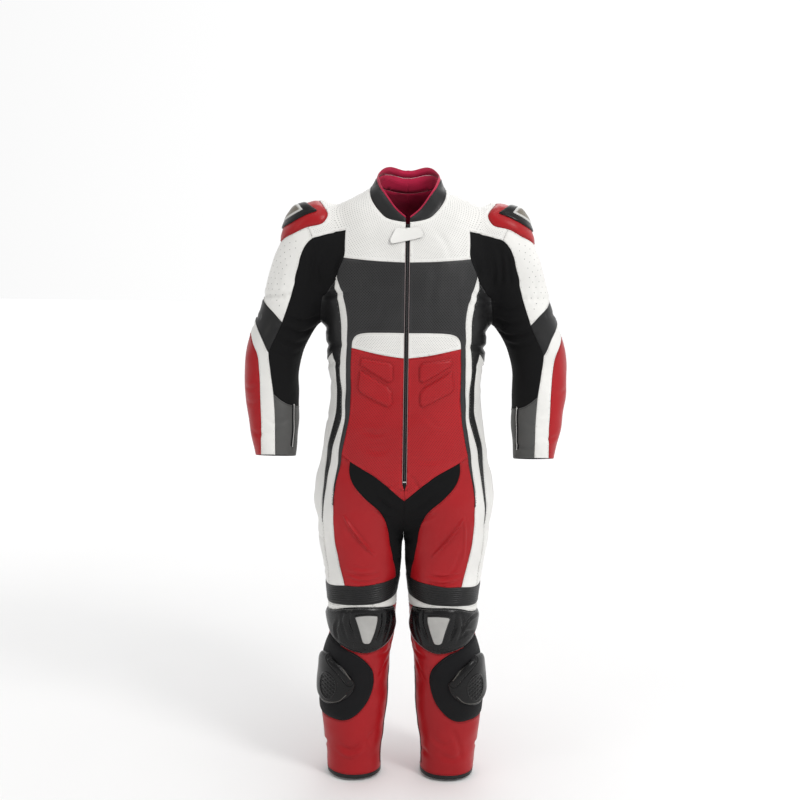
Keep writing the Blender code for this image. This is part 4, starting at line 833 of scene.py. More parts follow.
# ---------------------------------------------------------------- folds and embossing of the surface
# sides, chart, how the points are given (f front, b back, t turn and level), points, half width, height.
# A trough has a height below zero, and soft ridges beside it.
FOLDS = [
    # torso, in front: soft pulls of the chest and round the zip's end
    ("LR", "body", "f", [(0.060, -0.165), (0.052, -0.235), (0.058, -0.296)], 0.0100, -0.0010),
    ("LR", "body", "f", [(0.118, -0.160), (0.108, -0.215), (0.112, -0.270)], 0.0090, -0.0012),
    ("R", "body", "f", [(0.100, -0.186), (0.080, -0.212), (0.062, -0.224)], 0.0080, -0.0010),
    ("R", "body", "f", [(0.040, -0.516), (0.062, -0.522), (0.090, -0.518)], 0.0070, -0.0014),
    ("R", "body", "f", [(0.030, -0.553), (0.058, -0.562), (0.085, -0.556)], 0.0080, -0.0012),
    ("L", "body", "f", [(0.040, -0.478), (0.072, -0.500), (0.104, -0.492)], 0.0080, -0.0012),
    ("L", "body", "f", [(0.016, -0.570), (0.048, -0.585), (0.090, -0.580)], 0.0080, -0.0010),
    ("L", "body", "f", [(0.012, -0.612), (0.026, -0.630), (0.034, -0.645)], 0.0045, -0.0016),
    ("LR", "body", "f", [(0.014, -0.628), (0.030, -0.640), (0.048, -0.640)], 0.0040, -0.0012),
    # the yoke's drape from the neck to the shoulder
    ("LR", "body", "f", [(0.070, -0.058), (0.104, -0.066), (0.140, -0.078)], 0.0080, -0.0010),
    ("L", "body", "f", [(0.060, -0.084), (0.082, -0.112), (0.092, -0.142)], 0.0080, -0.0011),
    # the waist, round the side
    ("LR", "body", "t", [(-34, -0.332), (-8, -0.340), (24, -0.334)], 0.0075, -0.0034),
    ("LR", "body", "t", [(-20, -0.300), (4, -0.305), (34, -0.296)], 0.0065, -0.0022),
    ("LR", "body", "t", [(-28, -0.372), (2, -0.380), (44, -0.372)], 0.0080, -0.0028),
    ("L", "body", "t", [(-24, -0.270), (0, -0.262), (28, -0.266)], 0.0060, -0.0018),
    ("R", "body", "t", [(-18, -0.282), (10, -0.275), (40, -0.262)], 0.0060, -0.0018),
    ("LR", "body", "t", [(-10, -0.420), (20, -0.430), (56, -0.420)], 0.0090, -0.0030),
    ("LR", "body", "t", [(0, -0.460), (30, -0.468), (70, -0.462)], 0.0080, -0.0026),
    ("R", "body", "t", [(-16, -0.500), (12, -0.508), (42, -0.498)], 0.0080, -0.0018),
    # the armpit
    ("LR", "body", "f", [(0.150, -0.140), (0.158, -0.176), (0.163, -0.214)], 0.0060, -0.0030),
    ("LR", "body", "f", [(0.142, -0.118), (0.147, -0.150), (0.158, -0.178)], 0.0055, -0.0022),
    ("LR", "body", "t", [(-42, -0.214), (-16, -0.226), (12, -0.232)], 0.0070, -0.0030),
    ("L", "body", "t", [(-40, -0.242), (-20, -0.246), (4, -0.240)], 0.0055, -0.0018),
    # the back: across the waist, from the armpit and over the shoulder blades
    ("LR", "body", "t", [(90, -0.418), (70, -0.424), (46, -0.412)], 0.0095, -0.0034),
    ("LR", "body", "t", [(90, -0.452), (66, -0.448), (38, -0.456)], 0.0080, -0.0030),
    ("LR", "body", "t", [(88, -0.386), (74, -0.380), (54, -0.386)], 0.0070, -0.0020),
    ("LR", "body", "t", [(60, -0.350), (44, -0.342), (30, -0.352)], 0.0070, -0.0020),
    ("LR", "body", "t", [(48, -0.172), (58, -0.206), (62, -0.246)], 0.0080, -0.0026),
    ("LR", "body", "t", [(40, -0.196), (49, -0.232), (52, -0.270)], 0.0065, -0.0020),
    ("R", "body", "t", [(72, -0.110), (66, -0.150), (64, -0.190)], 0.0090, -0.0016),
    ("LR", "body", "t", [(90, -0.488), (72, -0.482), (52, -0.490)], 0.0075, -0.0022),
    # the seat and under it
    ("LR", "body", "b", [(0.030, -0.742), (0.080, -0.752), (0.140, -0.738)], 0.0090, -0.0040),
    ("LR", "body", "b", [(0.040, -0.774), (0.085, -0.782), (0.128, -0.770)], 0.0080, -0.0030),
    ("L", "body", "b", [(0.050, -0.712), (0.090, -0.722), (0.130, -0.704)], 0.0070, -0.0018),
    ("LR", "body", "b", [(0.020, -0.560), (0.060, -0.566), (0.110, -0.550)], 0.0080, -0.0018),
    ("R", "body", "b", [(0.060, -0.806), (0.092, -0.812), (0.124, -0.802)], 0.0070, -0.0022),
    # the crotch: folds that fan out from it over the stretch panel and the thigh
    ("LR", "body", "f", [(0.012, -0.700), (0.034, -0.690), (0.062, -0.664)], 0.0060, -0.0024),
    ("LR", "body", "f", [(0.016, -0.724), (0.040, -0.716), (0.070, -0.700)], 0.0060, -0.0022),
    ("LR", "body", "f", [(0.008, -0.672), (0.026, -0.662), (0.046, -0.642)], 0.0050, -0.0016),
    ("LR", "body", "t", [(-178, -0.770), (-160, -0.780), (-138, -0.772)], 0.0070, -0.0028),
    ("LR", "body", "t", [(-176, -0.812), (-158, -0.822), (-140, -0.816)], 0.0065, -0.0022),
    ("LR", "body", "t", [(176, -0.780), (150, -0.792), (120, -0.784)], 0.0070, -0.0026),
    # the thigh, in front
    ("LR", "body", "f", [(0.132, -0.712), (0.100, -0.757), (0.065, -0.800)], 0.0034, 0.0036),
    ("L", "body", "f", [(0.134, -0.718), (0.136, -0.760), (0.134, -0.808)], 0.0040, 0.0014),
    ("L", "body", "f", [(0.128, -0.790), (0.112, -0.830), (0.090, -0.848)], 0.0060, -0.0014),
    ("LR", "body", "f", [(0.055, -0.842), (0.090, -0.846), (0.128, -0.838)], 0.0048, -0.0024),
    ("LR", "body", "f", [(0.048, -0.858), (0.086, -0.863), (0.124, -0.856)], 0.0042, -0.0020),
    ("R", "body", "f", [(0.062, -0.826), (0.090, -0.829), (0.118, -0.824)], 0.0045, -0.0012),
    ("LR", "body", "t", [(-30, -0.846), (-8, -0.852), (20, -0.842)], 0.0055, -0.0020),
    # the knee cup's folds round the shield
    ("LR", "body", "f", [(0.116, -0.932), (0.118, -0.962), (0.104, -1.000)], 0.0040, -0.0030),
    ("LR", "body", "f", [(0.129, -0.934), (0.133, -0.962), (0.121, -1.002)], 0.0036, -0.0018),
    ("LR", "body", "f", [(0.048, -0.934), (0.048, -0.964), (0.062, -1.004)], 0.0040, -0.0030),
    ("LR", "body", "f", [(0.034, -0.936), (0.033, -0.966), (0.046, -1.004)], 0.0034, -0.0016),
    ("LR", "body", "f", [(0.054, -1.013), (0.083, -1.019), (0.114, -1.012)], 0.0036, -0.0022),
    ("L", "body", "f", [(0.134, -0.966), (0.150, -0.946), (0.166, -0.944)], 0.0040, -0.0024),
    ("L", "body", "f", [(0.128, -0.992), (0.142, -0.982), (0.156, -0.986)], 0.0045, -0.0020),
    ("R", "body", "f", [(0.138, -0.950), (0.146, -0.974), (0.142, -1.000)], 0.0050, -0.0024),
    # behind the knee
    ("LR", "body", "t", [(168, -0.942), (120, -0.950), (66, -0.944)], 0.0070, -0.0042),
    ("LR", "body", "t", [(174, -0.968), (126, -0.976), (60, -0.970)], 0.0070, -0.0040),
    ("LR", "body", "t", [(164, -0.996), (118, -1.002), (72, -0.994)], 0.0065, -0.0034),
    ("LR", "body", "t", [(150, -0.914), (112, -0.908), (70, -0.914)], 0.0065, -0.0030),
    ("LR", "body", "t", [(140, -1.024), (110, -1.030), (84, -1.022)], 0.0065, -0.0022),
    ("LR", "body", "t", [(-176, -0.982), (-166, -1.004), (-150, -1.030)], 0.0060, -0.0022),
    # the shin and ankle
    ("LR", "body", "t", [(-170, -1.052), (-150, -1.070), (-134, -1.100)], 0.0055, -0.0022),
    ("LR", "body", "t", [(-176, -1.020), (-150, -1.038), (-124, -1.042)], 0.0060, -0.0020),
    ("R", "body", "f", [(0.149, -1.270), (0.114, -1.284), (0.080, -1.262)], 0.0052, 0.0026),
    ("R", "body", "f", [(0.140, -1.256), (0.114, -1.266), (0.092, -1.252)], 0.0060, -0.0026),
    ("L", "body", "f", [(0.070, -1.235), (0.098, -1.252), (0.128, -1.246)], 0.0075, -0.0020),
    ("L", "body", "f", [(0.090, -1.276), (0.118, -1.286), (0.146, -1.274)], 0.0080, -0.0024),
    ("L", "body", "f", [(0.118, -1.218), (0.134, -1.250), (0.140, -1.290)], 0.0075, -0.0022),
    ("R", "body", "f", [(0.060, -1.226), (0.074, -1.244), (0.070, -1.270)], 0.0075, -0.0018),
    ("LR", "body", "t", [(170, -1.240), (110, -1.252), (50, -1.242)], 0.0085, -0.0030),
    ("LR", "body", "t", [(150, -1.276), (96, -1.284), (40, -1.274)], 0.0080, -0.0030),
    ("LR", "body", "t", [(20, -1.258), (0, -1.268), (-20, -1.262)], 0.0070, -0.0024),
    ("L", "body", "t", [(-130, -1.290), (-150, -1.280), (-172, -1.286)], 0.0070, -0.0020),
    ("LR", "body", "t", [(130, -1.180), (90, -1.188), (60, -1.180)], 0.0090, -0.0016),
    # the sleeve: over the stretch panel, in the elbow's crook and on its point
    ("LR", "arm", "f", [(0.196, -0.118), (0.206, -0.165), (0.208, -0.215)], 0.0070, -0.0026),
    ("LR", "arm", "f", [(0.180, -0.140), (0.190, -0.186), (0.206, -0.232)], 0.0060, -0.0020),
    ("L", "arm", "f", [(0.214, -0.130), (0.222, -0.170), (0.226, -0.205)], 0.0055, -0.0016),
    ("LR", "arm", "t", [(-160, -0.272), (-128, -0.286), (-96, -0.280)], 0.0065, -0.0036),
    ("LR", "arm", "t", [(-170, -0.300), (-136, -0.312), (-84, -0.300)], 0.0065, -0.0040),
    ("LR", "arm", "t", [(-164, -0.330), (-126, -0.336), (-90, -0.322)], 0.0060, -0.0034),
    ("R", "arm", "t", [(-150, -0.354), (-124, -0.360), (-98, -0.350)], 0.0055, -0.0020),
    ("L", "arm", "t", [(-140, -0.244), (-120, -0.256), (-94, -0.250)], 0.0060, -0.0024),
    ("LR", "arm", "t", [(-176, -0.240), (-150, -0.252), (-130, -0.246)], 0.0060, -0.0024),
    ("LR", "arm", "t", [(-10, -0.262), (20, -0.276), (60, -0.272)], 0.0060, -0.0022),
    ("LR", "arm", "t", [(-30, -0.300), (-6, -0.296), (30, -0.304)], 0.0055, -0.0018),
    ("LR", "arm", "t", [(40, -0.310), (66, -0.322), (94, -0.316)], 0.0065, -0.0024),
    ("LR", "arm", "t", [(150, -0.300), (124, -0.312), (104, -0.304)], 0.0065, -0.0028),
    ("LR", "arm", "t", [(160, -0.330), (130, -0.342), (108, -0.336)], 0.0060, -0.0026),
    ("LR", "arm", "t", [(165, -0.262), (140, -0.272), (116, -0.262)], 0.0065, -0.0026),
    ("LR", "arm", "f", [(0.278, -0.170), (0.284, -0.205), (0.290, -0.236)], 0.0080, -0.0012),
    ("LR", "arm", "t", [(92, -0.150), (80, -0.186), (84, -0.222)], 0.0085, -0.0016),
    # the forearm and the cuff
    ("LR", "arm", "t", [(-70, -0.428), (-44, -0.434), (-20, -0.428)], 0.0060, -0.0012),
    ("R", "arm", "t", [(-66, -0.462), (-40, -0.466), (-14, -0.460)], 0.0055, -0.0012),
    ("LR", "arm", "t", [(-130, -0.498), (-104, -0.504), (-78, -0.498)], 0.0055, -0.0016),
    ("LR", "arm", "t", [(-84, -0.530), (-56, -0.536), (-28, -0.530)], 0.0055, -0.0016),
    ("LR", "arm", "t", [(20, -0.520), (56, -0.528), (90, -0.520)], 0.0060, -0.0018),
    ("LR", "arm", "t", [(110, -0.500), (140, -0.508), (168, -0.500)], 0.0060, -0.0018),
    ("L", "arm", "t", [(-150, -0.552), (-120, -0.558), (-90, -0.552)], 0.0055, -0.0018),
    ("R", "arm", "t", [(60, -0.556), (90, -0.562), (124, -0.556)], 0.0055, -0.0018),
]
# pads pressed into the abdomen: outline seen from the front, on both sides
EMBOSSED = [
    [(0.098, -0.360), (0.035, -0.369), (0.029, -0.376), (0.029, -0.404), (0.036, -0.411), (0.100, -0.374)],
    [(0.100, -0.386), (0.040, -0.421), (0.031, -0.432), (0.030, -0.456), (0.038, -0.464), (0.098, -0.434),
     (0.104, -0.424)],
]
EMBOSS_HEIGHT = 0.0050
EMBOSS_EDGE = 0.0060        # width of the slope up to it
EMBOSS_DIP = 0.28           # depth of the dip round a pad, against the pad's height
FRONT_FROM = -0.03          # what is seen from the front lies before this y
FOLD_DEPTH = 1.5            # all the folds, against their heights in the table
SLEEVE_FOLDS_FROM = 0.184   # a sleeve's folds keep outside this x
FADE = 0.55                 # power of a fold's fading towards its ends
FOLD_REACH = 3.4            # how many half widths away a fold is felt
FOLD_SEED = 21
FOLD_PATH_STEP = 0.004
WAVES = [                   # slow unevenness: waves a metre along X, Y and Z, phase, height
    (62, 35, 48, 0.4, 0.00042), (-38, 71, 66, 1.7, 0.00036), (95, -22, -88, 2.9, 0.00026),
    (21, 58, -120, 4.1, 0.00030), (-84, 44, 31, 5.2, 0.00024),
]


def spot(key, how, a, b):
    """The map point that a seed or fold names on a chart."""
    chart = CHARTS[key]
    if how == "f":
        return front(a, b, chart)
    if how == "b":
        return back(a, b, chart)
    return chart.turn_map(a, b) if how == "t" else chart.lean_map(a, b)


CHARTS = {"body": BODY, "arm": ARM}


def fold_paths():
    """Each fold's points on the suit, on the side or sides it belongs to, with its width and height."""
    rng = np.random.default_rng(FOLD_SEED)
    paths = []
    for sides, key, how, points, width, height in FOLDS:
        maps = smooth_line([spot(key, how, a, b) for a, b in points], FOLD_PATH_STEP)
        places = CHARTS[key].place(maps)
        if key == "arm":        # near the armpit a ray from the sleeve can come out on the chest
            places = places[places[:, 0] > SLEEVE_FOLDS_FROM]
        for side in sides:
            wide, high, shift = rng.uniform(0.88, 1.15), rng.uniform(0.75, 1.2), rng.uniform(-0.003, 0.003)
            moved = places + np.array((0, 0, shift))
            flip = (1, 1, 1) if side == "L" else (-1, 1, 1)
            paths.append((moved * flip, width * wide, height * high * FOLD_DEPTH))
    return paths


def fold_relief(points, paths):
    """The height of every fold together at each point."""
    total = np.zeros(len(points))
    for path, width, height in paths:
        reach = FOLD_REACH * width
        low, high = path.min(axis=0) - reach, path.max(axis=0) + reach
        near = np.flatnonzero(((points > low) & (points < high)).all(axis=1))
        if not len(near):
            continue
        apart = np.linalg.norm(points[near, None] - path[None], axis=2)
        nearest = apart.argmin(axis=1)
        along = np.clip(nearest / (len(path) - 1), 0.02, 0.98)
        u = apart.min(axis=1) / width
        total[near] += height * np.sin(np.pi * along)**FADE * (1 - 0.8 * u**2) * np.exp(-0.75 * u**2)
    return total


def emboss_relief(points):
    """The height of the pads pressed into the abdomen."""
    total = np.zeros(len(points))
    seen = points[:, 1] < FRONT_FROM
    flat = np.column_stack([np.abs(points[:, 0]), points[:, 2]])
    for outline in EMBOSSED:
        corners = np.array(outline)
        inside = np.zeros(len(points), bool)
        distance = np.full(len(points), 1.0)
        for a, b in zip(corners, np.roll(corners, -1, axis=0)):
            crosses = (a[1] > flat[:, 1]) != (b[1] > flat[:, 1])
            at = a[0] + (flat[:, 1] - a[1]) * (b[0] - a[0]) / (b[1] - a[1] if b[1] != a[1] else 1e-9)
            inside ^= crosses & (flat[:, 0] < at)
            t = np.clip(((flat - a) @ (b - a)) / ((b - a) @ (b - a)), 0, 1)
            distance = np.minimum(distance, np.linalg.norm(flat - a - t[:, None] * (b - a), axis=1))
        t = np.clip(distance / EMBOSS_EDGE, 0, 1)
        rim = np.clip(1 - distance / EMBOSS_EDGE, 0, 1)
        total += np.where(seen & inside, EMBOSS_HEIGHT * np.sqrt(t * (2 - t)), 0.0)
        total -= np.where(seen & ~inside, EMBOSS_DIP * EMBOSS_HEIGHT * rim**2, 0.0)
    return total


def wave_relief(points):
    return sum(height * np.sin(points @ np.array((a, b, c)) + phase) for a, b, c, phase, height in WAVES)


def relief(points, paths):
    """The height of the worn surface over the smooth form."""
    return fold_relief(points, paths) + emboss_relief(points) + wave_relief(points)


# ---------------------------------------------------------------- pieces as thin shells
# raise of a padded piece above the form, and how far from its edge it is reached
PADDED = {"pad": (0.0052, 0.018), "knee_cup": (0.0070, 0.014), "slider_patch": (0.0034, 0.010),
          "collar": (0.0012, 0.008)}
# a hard piece over the piece below: height of its middle, of its rim, width of the slope between
HARD = {"plate": (0.0036, 0.0018, 0.0050), "knee_shield": (0.0050, 0.0022, 0.0050),
        "slider_puck": (0.0084, 0.0009, 0.0130)}
# the rolled edge of a leather piece: distance in from the seam, and height
ROLL = ((0.0016, 0.0), (0.0006, -0.00022), (0.00015, -0.00085))
HARD_ROLL = ((0.0010, 0.0), (0.0004, -0.00025), (0.00015, -0.00070))
FLAT_ROLL = ((0.0007, 0.0), (0.0003, -0.00012), (0.00015, -0.00040))
BAND_RIBS = 9               # ridges across the knee band
BAND_RIB_HEIGHT = 0.0019
BAND_ROWS = 7               # facets across one ridge
BAND_COLUMN = 0.0040
BAND_WAVE = 0.35            # how far the ridges wander, in ridges,
BAND_WAVES = 14.0           # and how often, in radians along the band
WELD_REACH = 0.000004       # points this near each other are one
ZIP_POINT = 0.014           # length of the zip's pointed lower end
ZIP_REACH = 0.030           # how far from the centre line the fronts are drawn apart


class Suit:
    """The left half of the form as one triangle mesh, and the regions that make each piece."""

    def __init__(self):
        armhole = armhole_points()
        self.nets = {"body": body_net(armhole), "arm": arm_net(armhole)}
        pieces = {**PIECES, **WHOLE_PIECES, **{name: [seed] for name, (_, seed) in OVERLAYS.items()}}
        self.labels = {name: {(seed[0], self.nets[seed[0]].region_at(spot(*seed))) for seed in seeds}
                       for name, seeds in pieces.items()}
        places, faces, maps = [], [], []
        self.face_labels = []
        for key, net in self.nets.items():
            wanted = {region for group in self.labels.values() for chart, region in group if chart == key}
            kept = np.flatnonzero(np.isin(net.region, list(wanted)))
            used = np.unique(net.faces[kept])
            number = np.full(len(net.flat), -1)
            number[used] = len(places) + np.arange(len(used))
            spots = net.chart.place(net.flat[used])
            for i, v in enumerate(used):
                if net.place_of[v] is not None:
                    spots[i] = net.place_of[v]
            places.extend(spots)
            maps.extend(net.flat[used])
            faces.append(number[net.faces[kept]])
            self.face_labels += [(key, region) for region in net.region[kept]]
        self.corner_maps = np.array(maps)[np.vstack(faces)]
        self.weld(np.array(places), np.vstack(faces))
        self.open_for_zip()
        self.normals = outward(self.places)
        self.normals[np.abs(self.places[:, 0]) < 1e-9, 0] = 0.0
        self.normals = unit(self.normals)

    def weld(self, places, faces):
        """Joins the points that both charts, or both sides of a chart's cut, have in one place."""
        tree = tree_of(places)
        number = np.full(len(places), -1)
        kept = []
        for index, place in enumerate(places):
            if number[index] < 0:
                for _, twin, _ in tree.find_range(place, WELD_REACH):
                    number[twin] = len(kept)
                kept.append(place)
        self.places = np.array(kept)
        self.faces = number[faces]

    def open_for_zip(self):
        """Draws the fronts apart, most at the centre line, down to the zip's pointed end."""
        x, y, z = self.places.T
        x[np.abs(x) < 1e-6] = 0.0
        gap = ZIP_OPENING * np.clip((z - ZIP_BOTTOM + ZIP_POINT) / ZIP_POINT, 0, 1)
        x += np.where(y < -0.02, gap * np.clip(1 - x / ZIP_REACH, 0, 1)**2, 0.0)

    def piece(self, name):
        """A piece's own points, outward directions, faces and the map point of each face's corners."""
        wanted = [label in self.labels[name] for label in self.face_labels]
        faces = self.faces[wanted]
        used = np.unique(faces)
        number = np.full(len(self.places), -1)
        number[used] = np.arange(len(used))
        return self.places[used], self.normals[used], number[faces], self.corner_maps[wanted]


def knee_band(net):
    """The ribbed band over the knee, as rows that follow both its seams."""
    top, bottom = (resampled(line, BAND_COLUMN) for line in net.band)
    columns = max(len(top), len(bottom))
    top, bottom = (at_fractions(line, np.linspace(0, 1, columns)) for line in net.band)
    rows = BAND_RIBS * BAND_ROWS + 1
    across = np.linspace(0, 1, rows)
    maps = (top[None] * (1 - across[:, None, None]) + bottom[None] * across[:, None, None]).reshape(-1, 2)
    wave = BAND_WAVE * np.sin(np.linspace(0, 1, columns) * BAND_WAVES)[None] * np.sin(np.pi * across)[:, None]
    ribs = np.abs(np.sin(np.pi * (BAND_RIBS * across[:, None] + wave)))**0.8
    edge = np.clip(np.minimum(across, 1 - across) * BAND_RIBS, 0, 1)[:, None]
    height = (BAND_RIB_HEIGHT * ribs * edge).ravel()
    index = np.arange(rows * columns).reshape(rows, columns)
    corners = (index[:-1, :-1], index[1:, :-1], index[1:, 1:], index[:-1, 1:])
    a, b, c, d = (corner.ravel() for corner in corners)
    faces = np.vstack([np.column_stack([a, b, c]), np.column_stack([a, c, d])])
    places = BODY.place(maps)
    return places, outward(places), faces, maps[faces], height


def resampled(line, step):
    length = np.linalg.norm(np.diff(line, axis=0), axis=1).sum()
    return at_fractions(line, np.linspace(0, 1, max(2, math.ceil(length / step) + 1)))


def at_fractions(line, fractions):
    """The points of a line at fractions of its length."""
    steps = np.linalg.norm(np.diff(line, axis=0), axis=1)
    along = np.concatenate([[0], np.cumsum(steps)]) / steps.sum()
    return np.column_stack([np.interp(fractions, along, line[:, k]) for k in range(line.shape[1])])


def border(faces):
    """The directed edges that only one face has."""
    edges = {(int(f[k]), int(f[(k + 1) % 3])) for f in faces for k in range(3)}
    return [(a, b) for a, b in sorted(edges) if (b, a) not in edges]


def loops(edges):
    """The border's rounds, as lists of points that end where they began."""
    following = {}
    for a, b in edges:
        following.setdefault(a, []).append(b)
    rounds = []
    while following:
        chain = [min(following)]
        while chain[-1] in following:
            onward = following[chain[-1]]
            point = onward.pop()
            if not onward:
                del following[chain[-1]]
            chain.append(point)
            if point == chain[0]:
                break
        rounds.append(chain)
    return rounds


def inward_ways(places, normals, edges):
    """For each border point, the way into the piece, as long as keeps the seam's distance in corners."""
    ways = {}
    for a, b in edges:
        along = places[b] - places[a]
        along /= np.linalg.norm(along) + 1e-12
        for v in (a, b):
            way = np.cross(normals[v], along)
            ways.setdefault(v, []).append(way / (np.linalg.norm(way) + 1e-12))
    into = np.zeros_like(places)
    for v, found in ways.items():
        total = sum(found)
        into[v] = total / max(len(found) * (1 + found[0] @ found[-1]) / 2, 0.5)
    return into


def edge_distance(places, edges):
    """How far each point lies from the border, along the straight."""
    a, b = np.array(edges).T
    tree = tree_of(np.stack([places[a], 0.5 * (places[a] + places[b])], axis=1).reshape(-1, 3))
    return np.array([tree.find(place)[2] for place in places])


def padded_profile(kind, distance):
    """How much a padded piece rises at distances in from its border; nothing for other pieces."""
    if kind not in PADDED:
        return np.zeros_like(distance)
    height, width = PADDED[kind]
    reach = np.clip(distance / width, 0, 1)
    return height * reach * (2 - reach)


def hard_profile(kind, distance):
    """How high a hard piece stands at distances in from its border."""
    middle, rim, width = HARD[kind]
    reach = np.clip(distance / width, 0, 1)
    return rim + (middle - rim) * np.sqrt(reach * (2 - reach))


class Shell:
    """A closed wall with rolled edges, ready to be made a mesh."""

    def __init__(self, places, normals, faces, corner_maps, top, bottom, roll):
        edges = border(faces)
        into = inward_ways(places, normals, edges)
        ring = np.array(sorted({v for edge in edges for v in edge}))
        slot_in_ring = {int(v): i for i, v in enumerate(ring)}
        distance = edge_distance(places, edges)
        count = len(places)

        def layer(which, inset, height):
            return places[which] + into[which] * inset + normals[which] * height[:, None]
        everything = np.arange(count)
        parts = [layer(everything, roll[0][0], top)]
        parts += [layer(ring, inset, top[ring] + drop) for inset, drop in roll[1:]]
        parts += [layer(everything, roll[-1][0], bottom)]
        self.points = np.vstack(parts)
        near = np.where(np.isin(everything, ring), roll[0][0], distance)
        self.edge = np.concatenate([near] + [np.full(len(ring), inset) for inset, _ in roll[1:]] + [near])
        starts = [0, count, count + len(ring), count + 2 * len(ring)]
        solid = [tuple(map(int, face)) for face in faces]
        maps = [corner_maps.reshape(-1, 2)]
        flat = {}
        for face, corners in zip(faces, corner_maps):
            for v, corner in zip(face, corners):
                flat[int(v)] = corner
        for a, b in edges:
            here = [a] + [starts[k] + slot_in_ring[a] for k in (1, 2)] + [starts[3] + a]
            there = [b] + [starts[k] + slot_in_ring[b] for k in (1, 2)] + [starts[3] + b]
            for k in range(3):
                solid.append((here[k], here[k + 1], there[k + 1], there[k]))
                maps.append(np.array([flat[a], flat[a], flat[b], flat[b]]))
        self.inner_from = len(solid)
        solid += [tuple(int(v) + starts[3] for v in face[::-1]) for face in faces]
        maps.append(corner_maps[:, ::-1].reshape(-1, 2))
        self.faces = solid
        self.maps = np.vstack(maps)
        self.area = 0.5 * np.linalg.norm(np.cross(places[faces[:, 1]] - places[faces[:, 0]],
                                                  places[faces[:, 2]] - places[faces[:, 0]]), axis=1).sum()
        self.flat_size = flat_size(corner_maps, self.area)


def flat_size(corner_maps, area):
    """Width and length of the piece's cut laid flat."""
    points = corner_maps.reshape(-1, 2)
    best = None
    for angle in np.radians(np.arange(0, 90, 3)):
        turn = np.array([(math.cos(angle), -math.sin(angle)), (math.sin(angle), math.cos(angle))])
        extent = np.ptp(points @ turn, axis=0)
        if best is None or extent.prod() < best.prod():
            best = extent
    width, length = sorted(best)
    if area < 0.32 * width * length:        # a long curved strip, measured along its own line
        width = area / (0.75 * length)
    if area > 0.98 * width * length:
        width = area / (0.98 * length)
    return max(width, 0.0102), length


# ---------------------------------------------------------------- materials
def add(tree, kind, inputs=None, **settings):
    """A shader node, with its inputs set to values or linked to other nodes' outputs."""
    node = tree.nodes.new(kind)
    for key, value in settings.items():
        setattr(node, key, value)
    for key, value in (inputs or {}).items():
        if isinstance(value, bpy.types.NodeSocket):
            tree.links.new(value, node.inputs[key])
        else:
            node.inputs[key].default_value = value
    return node


def maths(tree, operation, a, b=0.0, c=0.0):
    return add(tree, "ShaderNodeMath", {0: a, 1: b, 2: c}, operation=operation).outputs[0]


def ramp(tree, value, low, high, to_low=0.0, to_high=1.0):
    return add(tree, "ShaderNodeMapRange", {0: value, 1: low, 2: high, 3: to_low, 4: to_high}).outputs[0]


def mixed(tree, factor, a, b):
    """A colour between two others."""
    node = add(tree, "ShaderNodeMix", data_type="RGBA")
    for socket, value in ((node.inputs[0], factor), (node.inputs[6], a), (node.inputs[7], b)):
        if isinstance(value, bpy.types.NodeSocket):
            tree.links.new(value, socket)
        else:
            socket.default_value = value
    return node.outputs[2]


def object_place(tree):
    return add(tree, "ShaderNodeTexCoord").outputs["Object"]


def attribute(tree, name):
    return add(tree, "ShaderNodeAttribute", attribute_name=name).outputs["Fac"]


def noise(tree, coordinates, scale, detail=3.0, roughness=0.5):
    return add(tree, "ShaderNodeTexNoise", {"Vector": coordinates, "Scale": scale, "Detail": detail,
                                            "Roughness": roughness}).outputs[0]


LATTICE_TURN = math.radians(45)


def holes(tree, pitch, radius, margin, stretch=1.0):
    """A mask of punched holes on a lattice of the flat cut, which stops at a margin from the seams."""
    cut = add(tree, "ShaderNodeUVMap", uv_map="cut").outputs[0]
    lattice = add(tree, "ShaderNodeMapping", {"Vector": cut, "Rotation": (0, 0, LATTICE_TURN),
                                              "Scale": (1 / pitch, 1 / (pitch * stretch), 0)}).outputs[0]
    cell = add(tree, "ShaderNodeVectorMath", {0: lattice}, operation="FRACTION").outputs[0]
    centred = add(tree, "ShaderNodeVectorMath", {0: cell, 1: (0.5, 0.5, 0)}, operation="SUBTRACT").outputs[0]
    away = add(tree, "ShaderNodeVectorMath", {0: centred}, operation="LENGTH").outputs["Value"]
    hole = ramp(tree, away, 0.72 * radius / pitch, 1.15 * radius / pitch, 1.0, 0.0)
    return maths(tree, "MULTIPLY", hole, ramp(tree, attribute(tree, "edge"), margin, margin + 0.001))


def shade(colour, factor):
    return (*(min(1.0, factor * c) for c in colour), 1.0)


def begin(name, colour, roughness, metallic=0.0):
    """A material, its node tree and its Principled shader."""
    material = bpy.data.materials.new(name)
    material.use_nodes = True
    material.diffuse_color = (*colour, 1.0)
    shader = material.node_tree.nodes["Principled BSDF"]
    shader.inputs["Base Color"].default_value = (*colour, 1.0)
    shader.inputs["Roughness"].default_value = roughness
    shader.inputs["Metallic"].default_value = metallic
    return material, material.node_tree, shader


def dress(tree, shader, tone, roughness, height, strength, depth):
    """Gives the shader its colour, roughness and bump."""
    bump = add(tree, "ShaderNodeBump", {"Strength": strength, "Distance": depth, "Height": height})
    for socket, value in (("Normal", bump.outputs[0]), ("Base Color", tone), ("Roughness", roughness)):
        tree.links.new(value, shader.inputs[socket])


